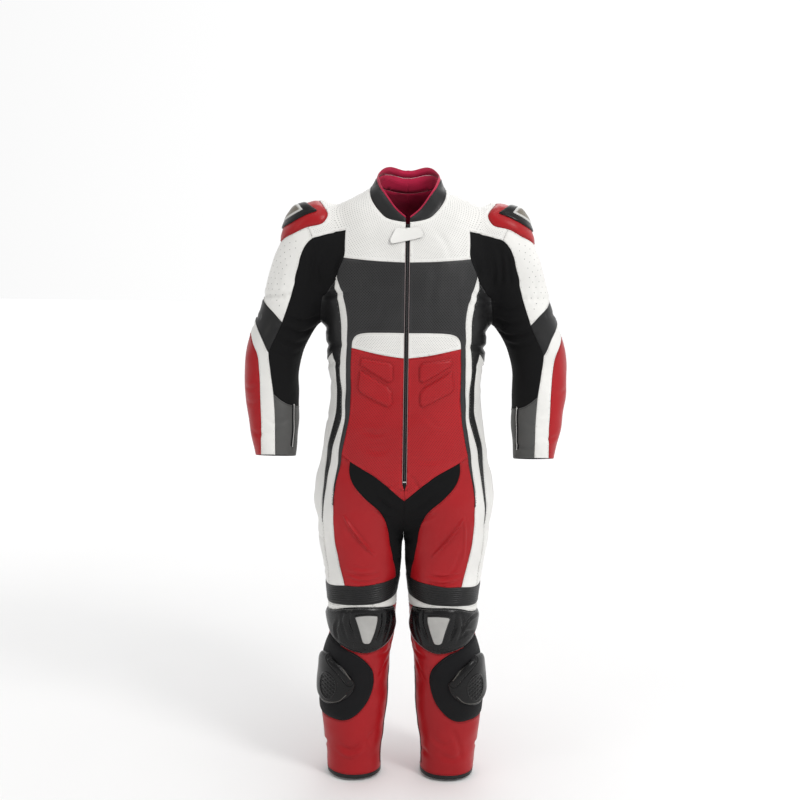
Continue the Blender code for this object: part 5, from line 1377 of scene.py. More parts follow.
def leather(name, colour, roughness, specular, worn=1.25, dots=None, hole_painted_shade=0.25, grain=0.00016):
    """Finished leather: a pebbled grain, slow changes of tone, rubbed edges, a painted shadow along the seams
    and, if asked, punched holes painted darker as painted shade.
    """
    material, tree, shader = begin(name, colour, roughness)
    shader.inputs["Specular IOR Level"].default_value = specular
    place = object_place(tree)
    slow = noise(tree, place, 7.0, 4.0)
    fine = noise(tree, place, 95.0, 5.0, 0.6)
    tone = mixed(tree, ramp(tree, slow, 0.35, 0.68), shade(colour, 0.90), shade(colour, 1.06))
    tone = mixed(tree, ramp(tree, fine, 0.30, 0.75, 0.0, 0.5), tone, shade(colour, 0.93))
    edge = attribute(tree, "edge")
    rubbed = maths(tree, "MULTIPLY", ramp(tree, edge, 0.0004, 0.0030, 1.0, 0.0), ramp(tree, fine, 0.42, 0.62))
    tone = mixed(tree, maths(tree, "MULTIPLY", rubbed, 0.6), tone, shade(colour, worn))
    # painted shadow: the leather is darker within 0.9 mm of a seam
    seam_shadow = ramp(tree, edge, 0.0, 0.0009, 0.40, 0.0)
    tone = mixed(tree, seam_shadow, tone, shade(colour, 0.35))
    pebbles = add(tree, "ShaderNodeTexVoronoi", {"Vector": place, "Scale": 620.0, "Randomness": 0.9},
                  feature="SMOOTH_F1").outputs["Distance"]
    wrinkle = noise(tree, place, 240.0, 4.0, 0.62)
    height = maths(tree, "MULTIPLY_ADD", wrinkle, 0.9, pebbles)
    if dots:
        mask = holes(tree, **dots)
        # painted shade: each punched hole is painted a darker tone of the leather
        tone = mixed(tree, mask, tone, shade(colour, hole_painted_shade))
        height = maths(tree, "SUBTRACT", height, maths(tree, "MULTIPLY", mask, 2.0))
    rough = ramp(tree, fine, 0.25, 0.8, roughness - 0.05, roughness + 0.10)
    dress(tree, shader, tone, rough, height, 0.55, grain)
    return material


def cloth(name, colour, roughness, sheen, pitch, bump_height, across=1.0):
    """A knitted or woven cloth: fine ribs of its threads, painted shade in the grooves between them, and a
    soft sheen.
    """
    material, tree, shader = begin(name, colour, roughness)
    shader.inputs["Sheen Weight"].default_value = sheen
    shader.inputs["Sheen Roughness"].default_value = 0.45
    shader.inputs["Specular IOR Level"].default_value = 0.2
    cut = add(tree, "ShaderNodeUVMap", uv_map="cut").outputs[0]
    parts = add(tree, "ShaderNodeSeparateXYZ", {0: cut})
    turns = 2 * math.pi / pitch
    rib = maths(tree, "SINE", maths(tree, "MULTIPLY", parts.outputs[0], turns))
    stitch = maths(tree, "SINE", maths(tree, "MULTIPLY", parts.outputs[1], turns * across))
    crossed = maths(tree, "MULTIPLY", maths(tree, "MULTIPLY", rib, stitch), 0.5)
    weave = maths(tree, "MULTIPLY_ADD", rib, 0.5, crossed)
    place = object_place(tree)
    slow = noise(tree, place, 14.0)
    tone = mixed(tree, ramp(tree, slow, 0.3, 0.7), shade(colour, 0.8), shade(colour, 1.25))
    # painted shade: the cloth is darker where the weave is low, in the grooves between its threads
    tone = mixed(tree, ramp(tree, weave, -1.0, 0.2, 0.35, 0.0), tone, shade(colour, 0.45))
    rough = ramp(tree, slow, 0.2, 0.8, roughness - 0.06, roughness + 0.06)
    dress(tree, shader, tone, rough, weave, 0.6, bump_height)
    return material


def moulded(name, colour, roughness, metallic=0.0, specular=0.5, scuff=1.6, inset=None, deep=None):
    """Moulded plastic or metal: a fine texture, and scuffs that follow the edges.

    It may have an inset of another colour, and one more colour deep inside that. On the slider's puck the
    inset colour is a painted highlight along the bar's edge, and the light grey of the arc.
    """
    material, tree, shader = begin(name, colour, roughness, metallic)
    shader.inputs["Specular IOR Level"].default_value = specular
    place = object_place(tree)
    fine = noise(tree, place, 260.0, 4.0)
    slow = noise(tree, place, 30.0, 5.0, 0.65)
    edge = attribute(tree, "edge")
    rubbed = maths(tree, "MULTIPLY", ramp(tree, edge, 0.0, 0.004, 1.0, 0.15), ramp(tree, slow, 0.48, 0.66))
    tone = mixed(tree, ramp(tree, slow, 0.3, 0.7), shade(colour, 0.88), shade(colour, 1.08))
    tone = mixed(tree, maths(tree, "MULTIPLY", rubbed, 0.5), tone, shade(colour, scuff))
    if inset:
        depth_in = attribute(tree, "inset")
        lit = mixed(tree, ramp(tree, slow, 0.3, 0.7), shade(inset, 0.88), shade(inset, 1.06))
        if deep:
            lit = mixed(tree, ramp(tree, depth_in, 0.0030, 0.0060), lit, shade(deep, 1.0))
        tone = mixed(tree, ramp(tree, depth_in, 0.0, 0.0006), tone, lit)
    rough = ramp(tree, slow, 0.25, 0.75, roughness - 0.06, roughness + 0.12)
    dress(tree, shader, tone, rough, fine, 0.5, 0.00008)
    return material


WHITE = (0.770, 0.765, 0.740)
BLACK = (0.0135, 0.0135, 0.0140)
RED = (0.360, 0.0065, 0.0105)
PERFORATED = {"pitch": 0.0042, "radius": 0.00072, "margin": 0.007}
FINE_HOLES = {"pitch": 0.0044, "radius": 0.00095, "margin": 0.006}
COARSE = {"pitch": 0.0044, "radius": 0.00135, "margin": 0.006}
SPARSE = {"pitch": 0.0135, "radius": 0.0009, "margin": 0.016, "stretch": 1.25}
MATERIALS = {
    "white": leather("white_leather", WHITE, 0.48, 0.35, worn=0.80),
    "white_perforated": leather("white_leather_perforated", WHITE, 0.50, 0.35, 0.80, PERFORATED, 0.30),
    "white_sparse": leather("white_leather_sparse_holes", WHITE, 0.48, 0.35, 0.80, SPARSE, 0.10),
    "black": leather("black_leather", BLACK, 0.36, 0.26, worn=2.6),
    "black_perforated": leather("black_leather_perforated", (0.026, 0.026, 0.027), 0.37, 0.32, 1.6, COARSE,
                                0.10),
    "black_cup": leather("black_leather_cup", (0.0050, 0.0050, 0.0054), 0.25, 0.28, worn=1.6, grain=0.00010),
    "red": leather("red_leather", RED, 0.36, 0.26, worn=1.25),
    "red_perforated": leather("red_leather_perforated", (0.40, 0.0085, 0.0130), 0.38, 0.26, 1.25, FINE_HOLES,
                              0.30),
    "cuff": leather("cuff_leather", (0.072, 0.072, 0.070), 0.50, 0.30, worn=1.8),
    "patch": cloth("patch_cloth", (0.0055, 0.0055, 0.0065), 0.80, 0.06, 0.0016, 0.00025, 1.3),
    "stretch": cloth("black_stretch_cloth", (0.0032, 0.0032, 0.0036), 0.85, 0.02, 0.0018, 0.0003),
    "lining": cloth("black_mesh_lining", (0.020, 0.020, 0.022), 0.85, 0.10, 0.0026, 0.0003),
    "crimson": cloth("crimson_lining", (0.42, 0.010, 0.050), 0.70, 0.20, 0.0022, 0.0003),
    "silver": moulded("silver_shield", (0.012, 0.012, 0.012), 0.32, 0.25, 0.4, scuff=1.5,
                      inset=(0.42, 0.415, 0.40)),
    "plate": moulded("plate_plastic", (0.0050, 0.0050, 0.0052), 0.28, 0.0, 0.24, scuff=3.0,
                     inset=(0.55, 0.55, 0.53), deep=(0.150, 0.132, 0.105)),
    # the puck's inset colour is its painted highlight along the bar's edge, and the light grey of the arc
    "puck": moulded("slider_plastic", (0.0045, 0.0045, 0.0048), 0.24, 0.0, 0.24, scuff=1.3,
                    inset=(0.150, 0.143, 0.130)),
    "zip": cloth("zip_tape", (0.006, 0.006, 0.007), 0.75, 0.04, 0.0012, 0.0002),
    "teeth": moulded("zip_teeth", (0.014, 0.014, 0.015), 0.30, scuff=2.5),
    "metal": moulded("zip_metal", (0.62, 0.61, 0.60), 0.28, metallic=1.0, scuff=0.8),
    "piping": moulded("piping", (0.34, 0.27, 0.27), 0.45, scuff=1.1),
    "thread_white": cloth("thread_white", (0.62, 0.60, 0.57), 0.75, 0.2, 0.0008, 0.0001),
    "thread_black": cloth("thread_black", (0.022, 0.022, 0.024), 0.70, 0.1, 0.0008, 0.0001),
    "thread_grey": cloth("thread_grey", (0.16, 0.16, 0.16), 0.70, 0.1, 0.0008, 0.0001),
    "thread_red": cloth("thread_red", (0.20, 0.008, 0.011), 0.70, 0.1, 0.0008, 0.0001),
}

# piece: outer material, record slot, thread (or None where it isn't stitched)
LOOKS = {
    "yoke": ("white_perforated", "white_leather", "white"),
    "chest": ("black_perforated", "black_leather", "black"),
    "belly": ("white_perforated", "white_leather", "white"),
    "abdomen": ("red_perforated", "red_leather", "red"),
    "stripe": ("white", "white_leather", "white"), "side": ("black", "black_leather", "grey"),
    "flank": ("white", "white_leather", "white"), "groin": ("stretch", "black_stretch", None),
    "thigh": ("red", "red_leather", "red"), "seat": ("black", "black_leather", "black"),
    "knee_band": ("black", "black_leather", None), "knee_wave": ("white", "white_leather", "white"),
    "knee_cup": ("black_cup", "black_leather", "grey"), "slider_patch": ("patch", "black_leather", "black"),
    "shin": ("red", "red_leather", "red"), "hem": ("black", "black_leather", None),
    "sleeve": ("white_sparse", "white_leather", "white"), "stretch": ("stretch", "black_stretch", None),
    "elbow": ("black", "black_leather", "black"), "forearm_white": ("white", "white_leather", "white"),
    "forearm_red": ("red", "red_leather", "red"), "cuff": ("cuff", "black_leather", "black"),
    "pad": ("red", "red_leather", "red"), "plate": ("plate", "black_plastic", None),
    "knee_shield": ("silver", "silver_shield", None), "slider_puck": ("puck", "black_plastic", None),
    "collar": ("black", "black_leather", "black"), "collar_edge": ("crimson", "crimson_lining", None),
    "back_yoke": ("white_perforated", "white_leather", "white"), "back_middle": ("red", "red_leather", "red"),
}
CRIMSON_INSIDE = {"collar", "collar_edge", "yoke", "back_yoke"}
FILLED = {"pad": 0.7, "knee_cup": 0.6, "slider_patch": 0.4}     # padded pieces and how full they are


# ---------------------------------------------------------------- meshes and objects
def new_object(name, points, faces, materials, face_materials=None, maps=None, edge=None):
    """An object of the suit. Its UV map is the flat cut, and "edge" is each point's distance from a seam."""
    mesh = bpy.data.meshes.new(name)
    mesh.from_pydata([tuple(p) for p in points], [], faces)
    for material in materials:
        mesh.materials.append(MATERIALS[material])
    if face_materials is not None:
        mesh.polygons.foreach_set("material_index", face_materials)
    layer = mesh.uv_layers.new(name="cut")
    if maps is None:
        corners = np.empty(len(mesh.loops), int)
        mesh.loops.foreach_get("vertex_index", corners)
        maps = np.asarray(points)[corners][:, (0, 2)]
    layer.data.foreach_set("uv", np.asarray(maps, float).ravel())
    attribute = mesh.attributes.new("edge", "FLOAT", "POINT")
    attribute.data.foreach_set("value", np.full(len(points), 0.02) if edge is None else edge)
    mesh.shade_smooth()
    mesh.update()
    item = bpy.data.objects.new(name, mesh)
    bpy.context.scene.collection.objects.link(item)
    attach(item, "root")
    return item


def finish_piece(kind, node, shell):
    """The mesh of a shell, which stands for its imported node."""
    outer, slot, _ = LOOKS[kind]
    inner = "crimson" if kind in CRIMSON_INSIDE else "lining"
    kinds = np.zeros(len(shell.faces), int)
    kinds[shell.inner_from:] = 1
    item = new_object(f"worn_{node}", shell.points, shell.faces, (outer, inner), kinds, shell.maps,
                      shell.edge)
    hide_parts(node)
    if kind in HARD:
        return item
    if kind in FILLED:
        return item
    return item


FLIP = np.array((-1.0, 1.0, 1.0))
REFINED = {"abdomen", "thigh", "knee_cup", "pad"}


def sided(suit_piece, side):
    """A piece's arrays on the left, or mirrored for the right."""
    places, normals, faces, maps = suit_piece
    if side == "left":
        return places, normals, faces, maps
    return places * FLIP, normals * FLIP, faces[:, ::-1], (maps * (-1, 1))[:, ::-1]


def joined(suit_piece):
    """A half piece and its mirror image, sharing the points on the centre line."""
    places, normals, faces, maps = suit_piece
    centre = np.abs(places[:, 0]) < 1e-9
    twin = np.where(centre, np.arange(len(places)), len(places) + np.cumsum(~centre) - 1)
    return (np.vstack([places, places[~centre] * FLIP]), np.vstack([normals, normals[~centre] * FLIP]),
            np.vstack([faces, twin[faces][:, ::-1]]), np.vstack([maps, (maps * (-1, 1))[:, ::-1]]))


def refined(arrays, value=None):
    """The arrays with every facet split in four, and a value of each point."""
    places, normals, faces, maps = arrays
    edges = np.sort(faces[:, ((0, 1), (1, 2), (2, 0))].reshape(-1, 2), axis=1)
    unique, number = np.unique(edges, axis=0, return_inverse=True)
    middle = len(places) + number.reshape(-1, 3)
    a, b, c = faces.T
    ab, bc, ca = middle.T
    parts = np.stack([(a, ab, ca), (ab, b, bc), (ca, bc, c), (ab, bc, ca)]).transpose(2, 0, 1).reshape(-1, 3)
    p, q, r = maps.transpose(1, 0, 2)
    pq, qr, rp = (0.5 * (maps + np.roll(maps, -1, axis=1))).transpose(1, 0, 2)
    corners = ((p, pq, rp), (pq, q, qr), (rp, qr, r), (pq, qr, rp))
    split = np.stack([np.stack(three, 1) for three in corners], 1).reshape(-1, 3, 2)

    def halfway(values):
        return np.concatenate([values, 0.5 * (values[unique[:, 0]] + values[unique[:, 1]])])
    finer = halfway(places), unit(halfway(normals)), parts, split
    return finer if value is None else (finer, halfway(value))


def leather_shell(kind, arrays, paths, extra=None):
    """A sewn piece's wall on the worn surface."""
    places, normals, faces, maps = arrays
    base = relief(places, paths)
    raised = padded_profile(kind, edge_distance(places, border(faces))) if kind in PADDED else 0.0
    top = base + raised + (0.0 if extra is None else extra)
    return Shell(places, normals, faces, maps, top, base - LEATHER, ROLL if LOOKS[kind][2] else FLAT_ROLL)


# ---------------------------------------------------------------- stitching
STITCH_PITCH = 0.0040
STITCH_LENGTH = 0.0027
STITCH_WIDTH = 0.00075
FEWEST_STITCHES = 4         # a row with fewer is left out
STITCH_INSET = 0.0030       # from the seam
STITCHES = {"white": [], "black": [], "red": [], "grey": []}
BOX = np.array([(x, y, z) for x in (-1, 1) for y in (-1, 1) for z in (-1, 1)], float)
BOX_FACES = np.array([(0, 1, 3, 2), (4, 6, 7, 5), (0, 4, 5, 1), (2, 3, 7, 6), (0, 2, 6, 4), (1, 5, 7, 3)])


def stitch(kind, arrays, paths):
    """Rows of thread just inside the piece's border."""
    thread = LOOKS[kind][2]
    places, normals, faces, _ = arrays
    edges = border(faces)
    into = inward_ways(places, normals, edges)
    height = relief(places, paths) + padded_profile(kind, np.full(1, STITCH_INSET))[0]
    row = places + into * STITCH_INSET + normals * (height + 0.2 * STITCH_WIDTH)[:, None]
    for chain in loops(edges):
        line = row[chain]
        upright = normals[chain]
        total = np.linalg.norm(np.diff(line, axis=0), axis=1).sum()
        count = int(total / STITCH_PITCH)
        if count < FEWEST_STITCHES:
            continue
        middle = (np.arange(count) + 0.5) / count
        half = 0.5 * STITCH_LENGTH / total
        both = at_fractions(np.hstack([line, upright]), np.concatenate([middle - half, middle + half]))
        tail, head = both[:count], both[count:]
        along = head[:, :3] - tail[:, :3]
        length = np.linalg.norm(along, axis=1)
        kept = length > 0.6 * STITCH_LENGTH
        along = along[kept] / length[kept][:, None]
        up = 0.5 * (head[kept, 3:] + tail[kept, 3:])
        across = np.cross(up, along)
        centre = 0.5 * (head[kept, :3] + tail[kept, :3])
        STITCHES[thread].append(boxes(centre, along, across, up, STITCH_LENGTH, STITCH_WIDTH, STITCH_WIDTH))


def boxes(centre, along, across, up, length, width, height):
    """Corner points of many small boxes with tapered tops."""
    corners = BOX[None] * 0.5 * np.array((length, width, height))
    corners = np.repeat(corners, len(centre), axis=0)
    corners[:, BOX[:, 2] > 0, :2] *= 0.72
    return (centre[:, None] + corners[..., :1] * along[:, None] + corners[..., 1:2] * across[:, None]
            + corners[..., 2:] * up[:, None])


def box_object(name, corners, material):
    """One object of many small boxes."""
    count = len(corners)
    faces = (BOX_FACES[None] + 8 * np.arange(count)[:, None, None]).reshape(-1, 4)
    item = new_object(name, corners.reshape(-1, 3), faces.tolist(), (material,))
    return item


# ---------------------------------------------------------------- the sewn pieces
def build_pieces(suit, paths):
    """Every sewn piece, with its stitching."""
    for kind in PIECES:
        if kind == "knee_band":
            *band, ribs = knee_band(suit.nets["body"])
            half, extra = tuple(band), ribs
        else:
            half, extra = suit.piece(kind), None
            half = refined(half) if kind in REFINED else half
        for side in ("left", "right"):
            arrays = sided(half, side)
            finish_piece(kind, f"{kind}_{side}", leather_shell(kind, arrays, paths, extra))
            if LOOKS[kind][2]:
                stitch(kind, arrays, paths)
    for kind in WHOLE_PIECES:
        arrays = joined(suit.piece(kind))
        finish_piece(kind, kind, leather_shell(kind, arrays, paths))
        if LOOKS[kind][2]:
            stitch(kind, arrays, paths)


def build_overlays(suit, paths):
    """The hard plate, shield and puck, each on the padded piece below it."""
    for kind, (under, _) in OVERLAYS.items():
        below = suit.piece(under)
        raised = padded_profile(under, edge_distance(below[0], border(below[2])))
        height_at = dict(zip(map(tuple, below[0]), raised))
        half = suit.piece(kind)
        lift = np.array([height_at[tuple(place)] for place in half[0]]) + 0.5 * SEAM_GAP
        half, lift = refined(*refined(half, lift))
        spots = np.zeros((len(half[0]), 2))
        spots[half[2]] = half[3]
        distance = edge_distance(half[0], border(half[2]))
        # inset: the plate's silver strip and the shield's silver face, and on the puck the painted highlight
        # along the bar's edge and the arc
        inset, detail = DETAILS[kind](half[0], spots, distance)
        height = hard_profile(kind, distance) + detail
        for side in ("left", "right"):
            places, normals, faces, maps = sided(half, side)
            bottom = lift + relief(places, paths)
            shell = Shell(places, normals, faces, maps, bottom + height, bottom, HARD_ROLL)
            item = finish_piece(kind, f"{kind}_{side}", shell)
            values = np.full(len(shell.points), -1.0)
            values[:len(inset)] = inset
            item.data.attributes.new("inset", "FLOAT", "POINT").data.foreach_set("value", values)


PLATE_BORDER = 0.0155       # black left round the plate's silver strip
PLATE_INSET_FROM = 0.2225
PLATE_TIP_TO = 0.2200       # the plate's inner tip is textured up to here
SHIELD_RIM = 0.0022         # the shield's black rim
# the slider seen from the front: a raised bar, a dimpled oval and an arc under it
PUCK_BAR = [(0.158, -1.047), (0.137, -1.070), (0.117, -1.097)]
PUCK_BAR_HALF = 0.0075
PUCK_OVAL = (0.163, -1.113)
PUCK_OVAL_RADII = (0.023, 0.031)        # across and up
PUCK_DIMPLE = (0.0150, 0.0095)          # across and up, of its diamond knobs
PUCK_ARC = [(0.124, -1.128), (0.140, -1.146), (0.160, -1.152), (0.176, -1.151)]
PUCK_ARC_HALF = 0.0011
PUCK_BAR_HEIGHT = 0.0034
PUCK_GROOVE = 0.0014                    # depth of the groove round the bar
PUCK_KNOB = 0.0019                      # height of a knob over the channels between them
PLATE_GROOVE = 0.0011                   # depth of the groove round the silver strip
SHIELD_GROOVE = 0.0007


def plate_details(places, spots, distance):
    """The silver strip let into the plate's outer part, and the texture of its inner tip."""
    x = places[:, 0]
    inside = np.minimum(distance - PLATE_BORDER, 0.7 * (x - PLATE_INSET_FROM))
    tip = np.clip((PLATE_TIP_TO - x) / 0.004, 0, 1) * np.clip((distance - 0.0030) / 0.0015, 0, 1)
    texture = np.sin(places @ (1100.0, 0.0, 1500.0)) * np.sin(places @ (-1200.0, 900.0, 500.0))
    height = 0.0008 * np.clip(inside / 0.0016, 0, 1) - PLATE_GROOVE * np.exp(-(inside / 0.0012)**2)
    return inside, height + 0.0006 * tip * texture


def shield_details(places, spots, distance):
    """The groove between the shield's rim and its silver face."""
    inside = distance - SHIELD_RIM
    return inside, -SHIELD_GROOVE * np.exp(-(inside / 0.0009)**2)


def band_of(spots, points, half_width):
    """How deep inside a band along a line each map point is, and how far along the line."""
    line = smooth_line([spot("body", "f", a, b) for a, b in points], 0.0015)
    apart = np.linalg.norm(spots[:, None] - line[None], axis=2)
    return half_width - apart.min(axis=1), apart.argmin(axis=1) / (len(line) - 1)


def puck_details(places, spots, distance):
    """The slider's raised bar, its dimpled oval and the arc below them, with a painted highlight along the
    bar's edge and the arc painted light grey.
    """
    bar, along = band_of(spots, PUCK_BAR, PUCK_BAR_HALF)
    ends = np.clip(np.minimum(along, 1 - along) / 0.06, 0, 1)
    height = PUCK_BAR_HEIGHT * ends * np.clip(bar / 0.0024, 0, 1)
    height -= PUCK_GROOVE * np.exp(-((bar + 0.0014) / 0.0013)**2)
    offset = (spots - spot("body", "f", *PUCK_OVAL)).T
    across, up = offset / np.array(PUCK_OVAL_RADII)[:, None]
    oval = 1 - np.hypot(across, up)
    free = np.clip(-bar / 0.002, 0, 1)
    cells = np.stack([offset[0] / PUCK_DIMPLE[0] + offset[1] / PUCK_DIMPLE[1],
                      offset[0] / PUCK_DIMPLE[0] - offset[1] / PUCK_DIMPLE[1]])
    reach = np.clip(2.4 * (0.5 - np.abs((cells % 1.0) - 0.5).max(axis=0)) - 0.25, 0, 1)
    height += free * np.clip(oval / 0.08, 0, 1) * (0.0004 - PUCK_KNOB * (1 - reach))
    height += 0.0012 * free * np.exp(-(oval * 0.026 / 0.0014)**2)
    arc, _ = band_of(spots, PUCK_ARC, PUCK_ARC_HALF)
    height += 0.0010 * np.clip(arc / 0.0008, 0, 1)
    # painted highlight: a light line 1 mm inside the bar's edge, all round it, and the arc; both take the
    # puck's light inset colour
    line = np.maximum(0.0008 - np.abs(bar - 0.0010) - 0.01 * (1 - ends), arc)
    return line, height


DETAILS = {"plate": plate_details, "knee_shield": shield_details, "slider_puck": puck_details}


# ---------------------------------------------------------------- the front's zip, its end and its tab
TOOTH_PITCH = 0.0026
TOOTH = (0.0030, 0.0016, 0.0014)        # across the zip, along it and high
PIPING_RADIUS = 0.00045
CORD_SIDES = 8
BARTACK_RADII = (0.0095, 0.0085)        # the stitched crescent below the zip, across and up,
BARTACK_LEVEL = -0.6415                 # about this level


def front_line(paths, top, bottom, step):
    """Points down the middle of the front, on the worn surface, with their outward directions."""
    levels = np.linspace(top, bottom, math.ceil((top - bottom) / step) + 1)
    spine = np.vstack([on_view(0.0, float(level), -1) for level in levels])
    normals = unit(outward(spine) * (0, 1, 1))
    return spine + normals * relief(spine, paths)[:, None], normals


def loft(name, points, size, material):
    """A closed form along rows of points, with so many points in each row."""
    faces = [tuple(range(size)), tuple(len(points) - 1 - k for k in range(size))]
    for row in range(len(points) // size - 1):
        for k in range(size):
            a, b = size * row + k, size * row + (k + 1) % size
            faces.append((b, a, a + size, b + size))
    item = new_object(name, points, faces, (material,))
    return item


def strip(name, spine, normals, half_widths, height, depth, material):
    """A flat strip along a line, with chamfered edges."""
    section = [(-1.0, -depth), (-1.0, height - 0.0004), (-0.86, height), (0.86, height),
               (1.0, height - 0.0004), (1.0, -depth)]
    points = np.array([place + normal * z + np.array((half * x, 0, 0))
                       for place, normal, half in zip(spine, normals, half_widths) for x, z in section])
    return loft(name, points, len(section), material)


def build_zip(paths):
    """The front zip: its tape, teeth and piping, the stop at its end and the crescent below that."""
    spine, normals = front_line(paths, ZIP_TOP, ZIP_BOTTOM - ZIP_POINT, 0.005)
    levels = spine[:, 2]
    half = ZIP_HALF_WIDTH * np.clip((levels - ZIP_BOTTOM + ZIP_POINT) / ZIP_POINT, 0.06, 1)
    tape = strip("worn_zip", spine, normals, half, -0.0009, 0.0022, "zip")
    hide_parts("zip")
    fine, upright = front_line(paths, ZIP_TOP - 0.002, ZIP_BOTTOM + 0.004, TOOTH_PITCH / 2)
    down = unit(np.gradient(fine, axis=0))
    across = np.cross(upright, down)
    side = np.where(np.arange(len(fine)) % 2 == 0, 1.0, -1.0)
    centre = fine + across * (0.0007 * side)[:, None] - upright * 0.0004
    box_object("zip_teeth", boxes(centre, across, down, upright, *TOOTH), "teeth")
    for name, sign in (("zip_piping_left", 1), ("zip_piping_right", -1)):
        aside = np.array((sign * (ZIP_OPENING - 0.0002), 0, 0))
        round_cord(name, spine[8:-3] + aside + normals[8:-3] * 0.0001, PIPING_RADIUS, "piping")
    # the stop: a rounded bar across the end
    stop, upright = front_line(paths, ZIP_BOTTOM + 0.0065, ZIP_BOTTOM + 0.0045, 0.002)
    bar = round_bar("worn_zip_end", stop[0] + upright[0] * 0.0012, np.array((1.0, 0, 0)), upright[0],
                    0.0078, 0.0026, 0.0016)
    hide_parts("zip_end")
    # the stitched crescent below it
    turns = np.radians(np.linspace(200, 340, 13))
    crescent = np.column_stack([BARTACK_RADII[0] * np.cos(turns),
                                BARTACK_LEVEL + BARTACK_RADII[1] * np.sin(turns)])
    places = np.vstack([on_view(float(abs(x)), float(z), -1) * (np.sign(x) or 1, 1, 1) for x, z in crescent])
    outside = outward(places)
    places = places + outside * (relief(places, paths) + 0.0003)[:, None]
    round_cord("zip_end_bartack", places, 0.0007, "thread_red")


def round_cord(name, line, radius, material):
    """A thin round cord along a line, with closed ends."""
    along = unit(np.gradient(line, axis=0))
    across = unit(np.cross(along, (0.0, -1.0, 0.0)))
    up = np.cross(across, along)
    turns = 2 * math.pi * np.arange(CORD_SIDES) / CORD_SIDES
    points = (line[:, None] + radius * (np.cos(turns)[None, :, None] * across[:, None]
                                        + np.sin(turns)[None, :, None] * up[:, None])).reshape(-1, 3)
    return loft(name, points, CORD_SIDES, material)


def surface_line(key, points, paths, sign, step=0.003):
    """Points and outward directions along a line on the worn surface, on the left (1) or the right (-1)."""
    maps = smooth_line([spot(key, *point) for point in points], step)
    places = CHARTS[key].place(maps)
    normals = outward(places) * (sign, 1, 1)
    places = places * (sign, 1, 1)
    return places + normals * relief(places, paths)[:, None], normals


def ribbon(name, line, normals, half_width, height, material):
    """A soft flat strip laid along a line, thin at its edges."""
    across = np.cross(normals, unit(np.gradient(line, axis=0)))
    section = [(-1.0, -0.0006), (-0.98, 0.6 * height), (-0.80, height), (0.0, 1.05 * height),
               (0.80, height), (0.98, 0.6 * height), (1.0, -0.0006)]
    count = len(line)
    taper = np.minimum(1.0, 0.35 + np.minimum(np.arange(count), count - 1 - np.arange(count)) * 0.65)
    points = np.vstack([line[k] + across[k] * (x * half_width * taper[k]) + normals[k] * z
                        for k in range(count) for x, z in section])
    return loft(name, points, len(section), material)


CUFF_ZIP = [("t", -146, -0.468), ("t", -146, -0.500), ("t", -146, -0.530), ("t", -146, -0.562)]
SHIN_SEAM = [("t", -168, -1.080), ("t", -167, -1.160), ("t", -166, -1.240), ("t", -165, -1.318)]
SHIN_STRIP = [("t", 2, -1.205), ("t", 1, -1.240), ("t", 0, -1.275), ("t", 0, -1.316)]


def build_trims(paths):
    """The cuffs' zips, and the seam strip and side strip of each shin."""
    for side, sign in (("left", 1), ("right", -1)):
        line, normals = surface_line("arm", CUFF_ZIP, paths, sign)
        ribbon(f"cuff_zip_tape_{side}", line, normals, 0.0052, 0.0008, "zip")
        raised = line + normals * 0.0010
        round_cord(f"cuff_zip_teeth_{side}", raised, 0.0011, "metal")
        line, normals = surface_line("body", SHIN_SEAM, paths, sign, 0.005)
        ribbon(f"shin_seam_strip_{side}", line, normals, 0.0030, 0.0009, "black")
        line, normals = surface_line("body", SHIN_STRIP, paths, sign, 0.005)
        ribbon(f"shin_side_strip_{side}", line, normals, 0.0048, 0.0009, "white")


def round_bar(name, centre, along, up, length, width, height):
    """A metal bar with rounded corners and edges."""
    across = np.cross(up, along)
    rings = ((0.0, 1.0), (0.55, 1.0), (0.85, 0.94), (1.0, 0.80))
    count = 32
    turns = 2 * math.pi * np.arange(count) / count
    shape = np.column_stack([np.sign(np.cos(turns)) * np.abs(np.cos(turns))**0.35,
                             np.sign(np.sin(turns)) * np.abs(np.sin(turns))**0.45])
    points = []
    for rise, scale in rings:
        for x, y in shape:
            points.append(centre + along * 0.5 * length * x * scale + across * 0.5 * width * y * scale
                          + up * height * (rise - 0.5))
    faces = [tuple(reversed(range(count))), tuple(range(3 * count, 4 * count))]
    for ring in range(3):
        for k in range(count):
            a, b = ring * count + k, ring * count + (k + 1) % count
            faces.append((a, b, b + count, a + count))
    item = new_object(name, points, faces, ("metal",))
    return item


TAB_OUTLINE = [(-0.026, -0.081), (-0.0325, -0.094), (-0.0375, -0.105), (-0.0365, -0.1125), (-0.031, -0.114),
               (0.000, -0.107), (0.0285, -0.1005), (0.0330, -0.0975), (0.0325, -0.0925), (0.030, -0.086),
               (0.0265, -0.0785), (0.000, -0.0795)]
TAB_LIFT = 0.0018
TAB_THICKNESS = 0.0020


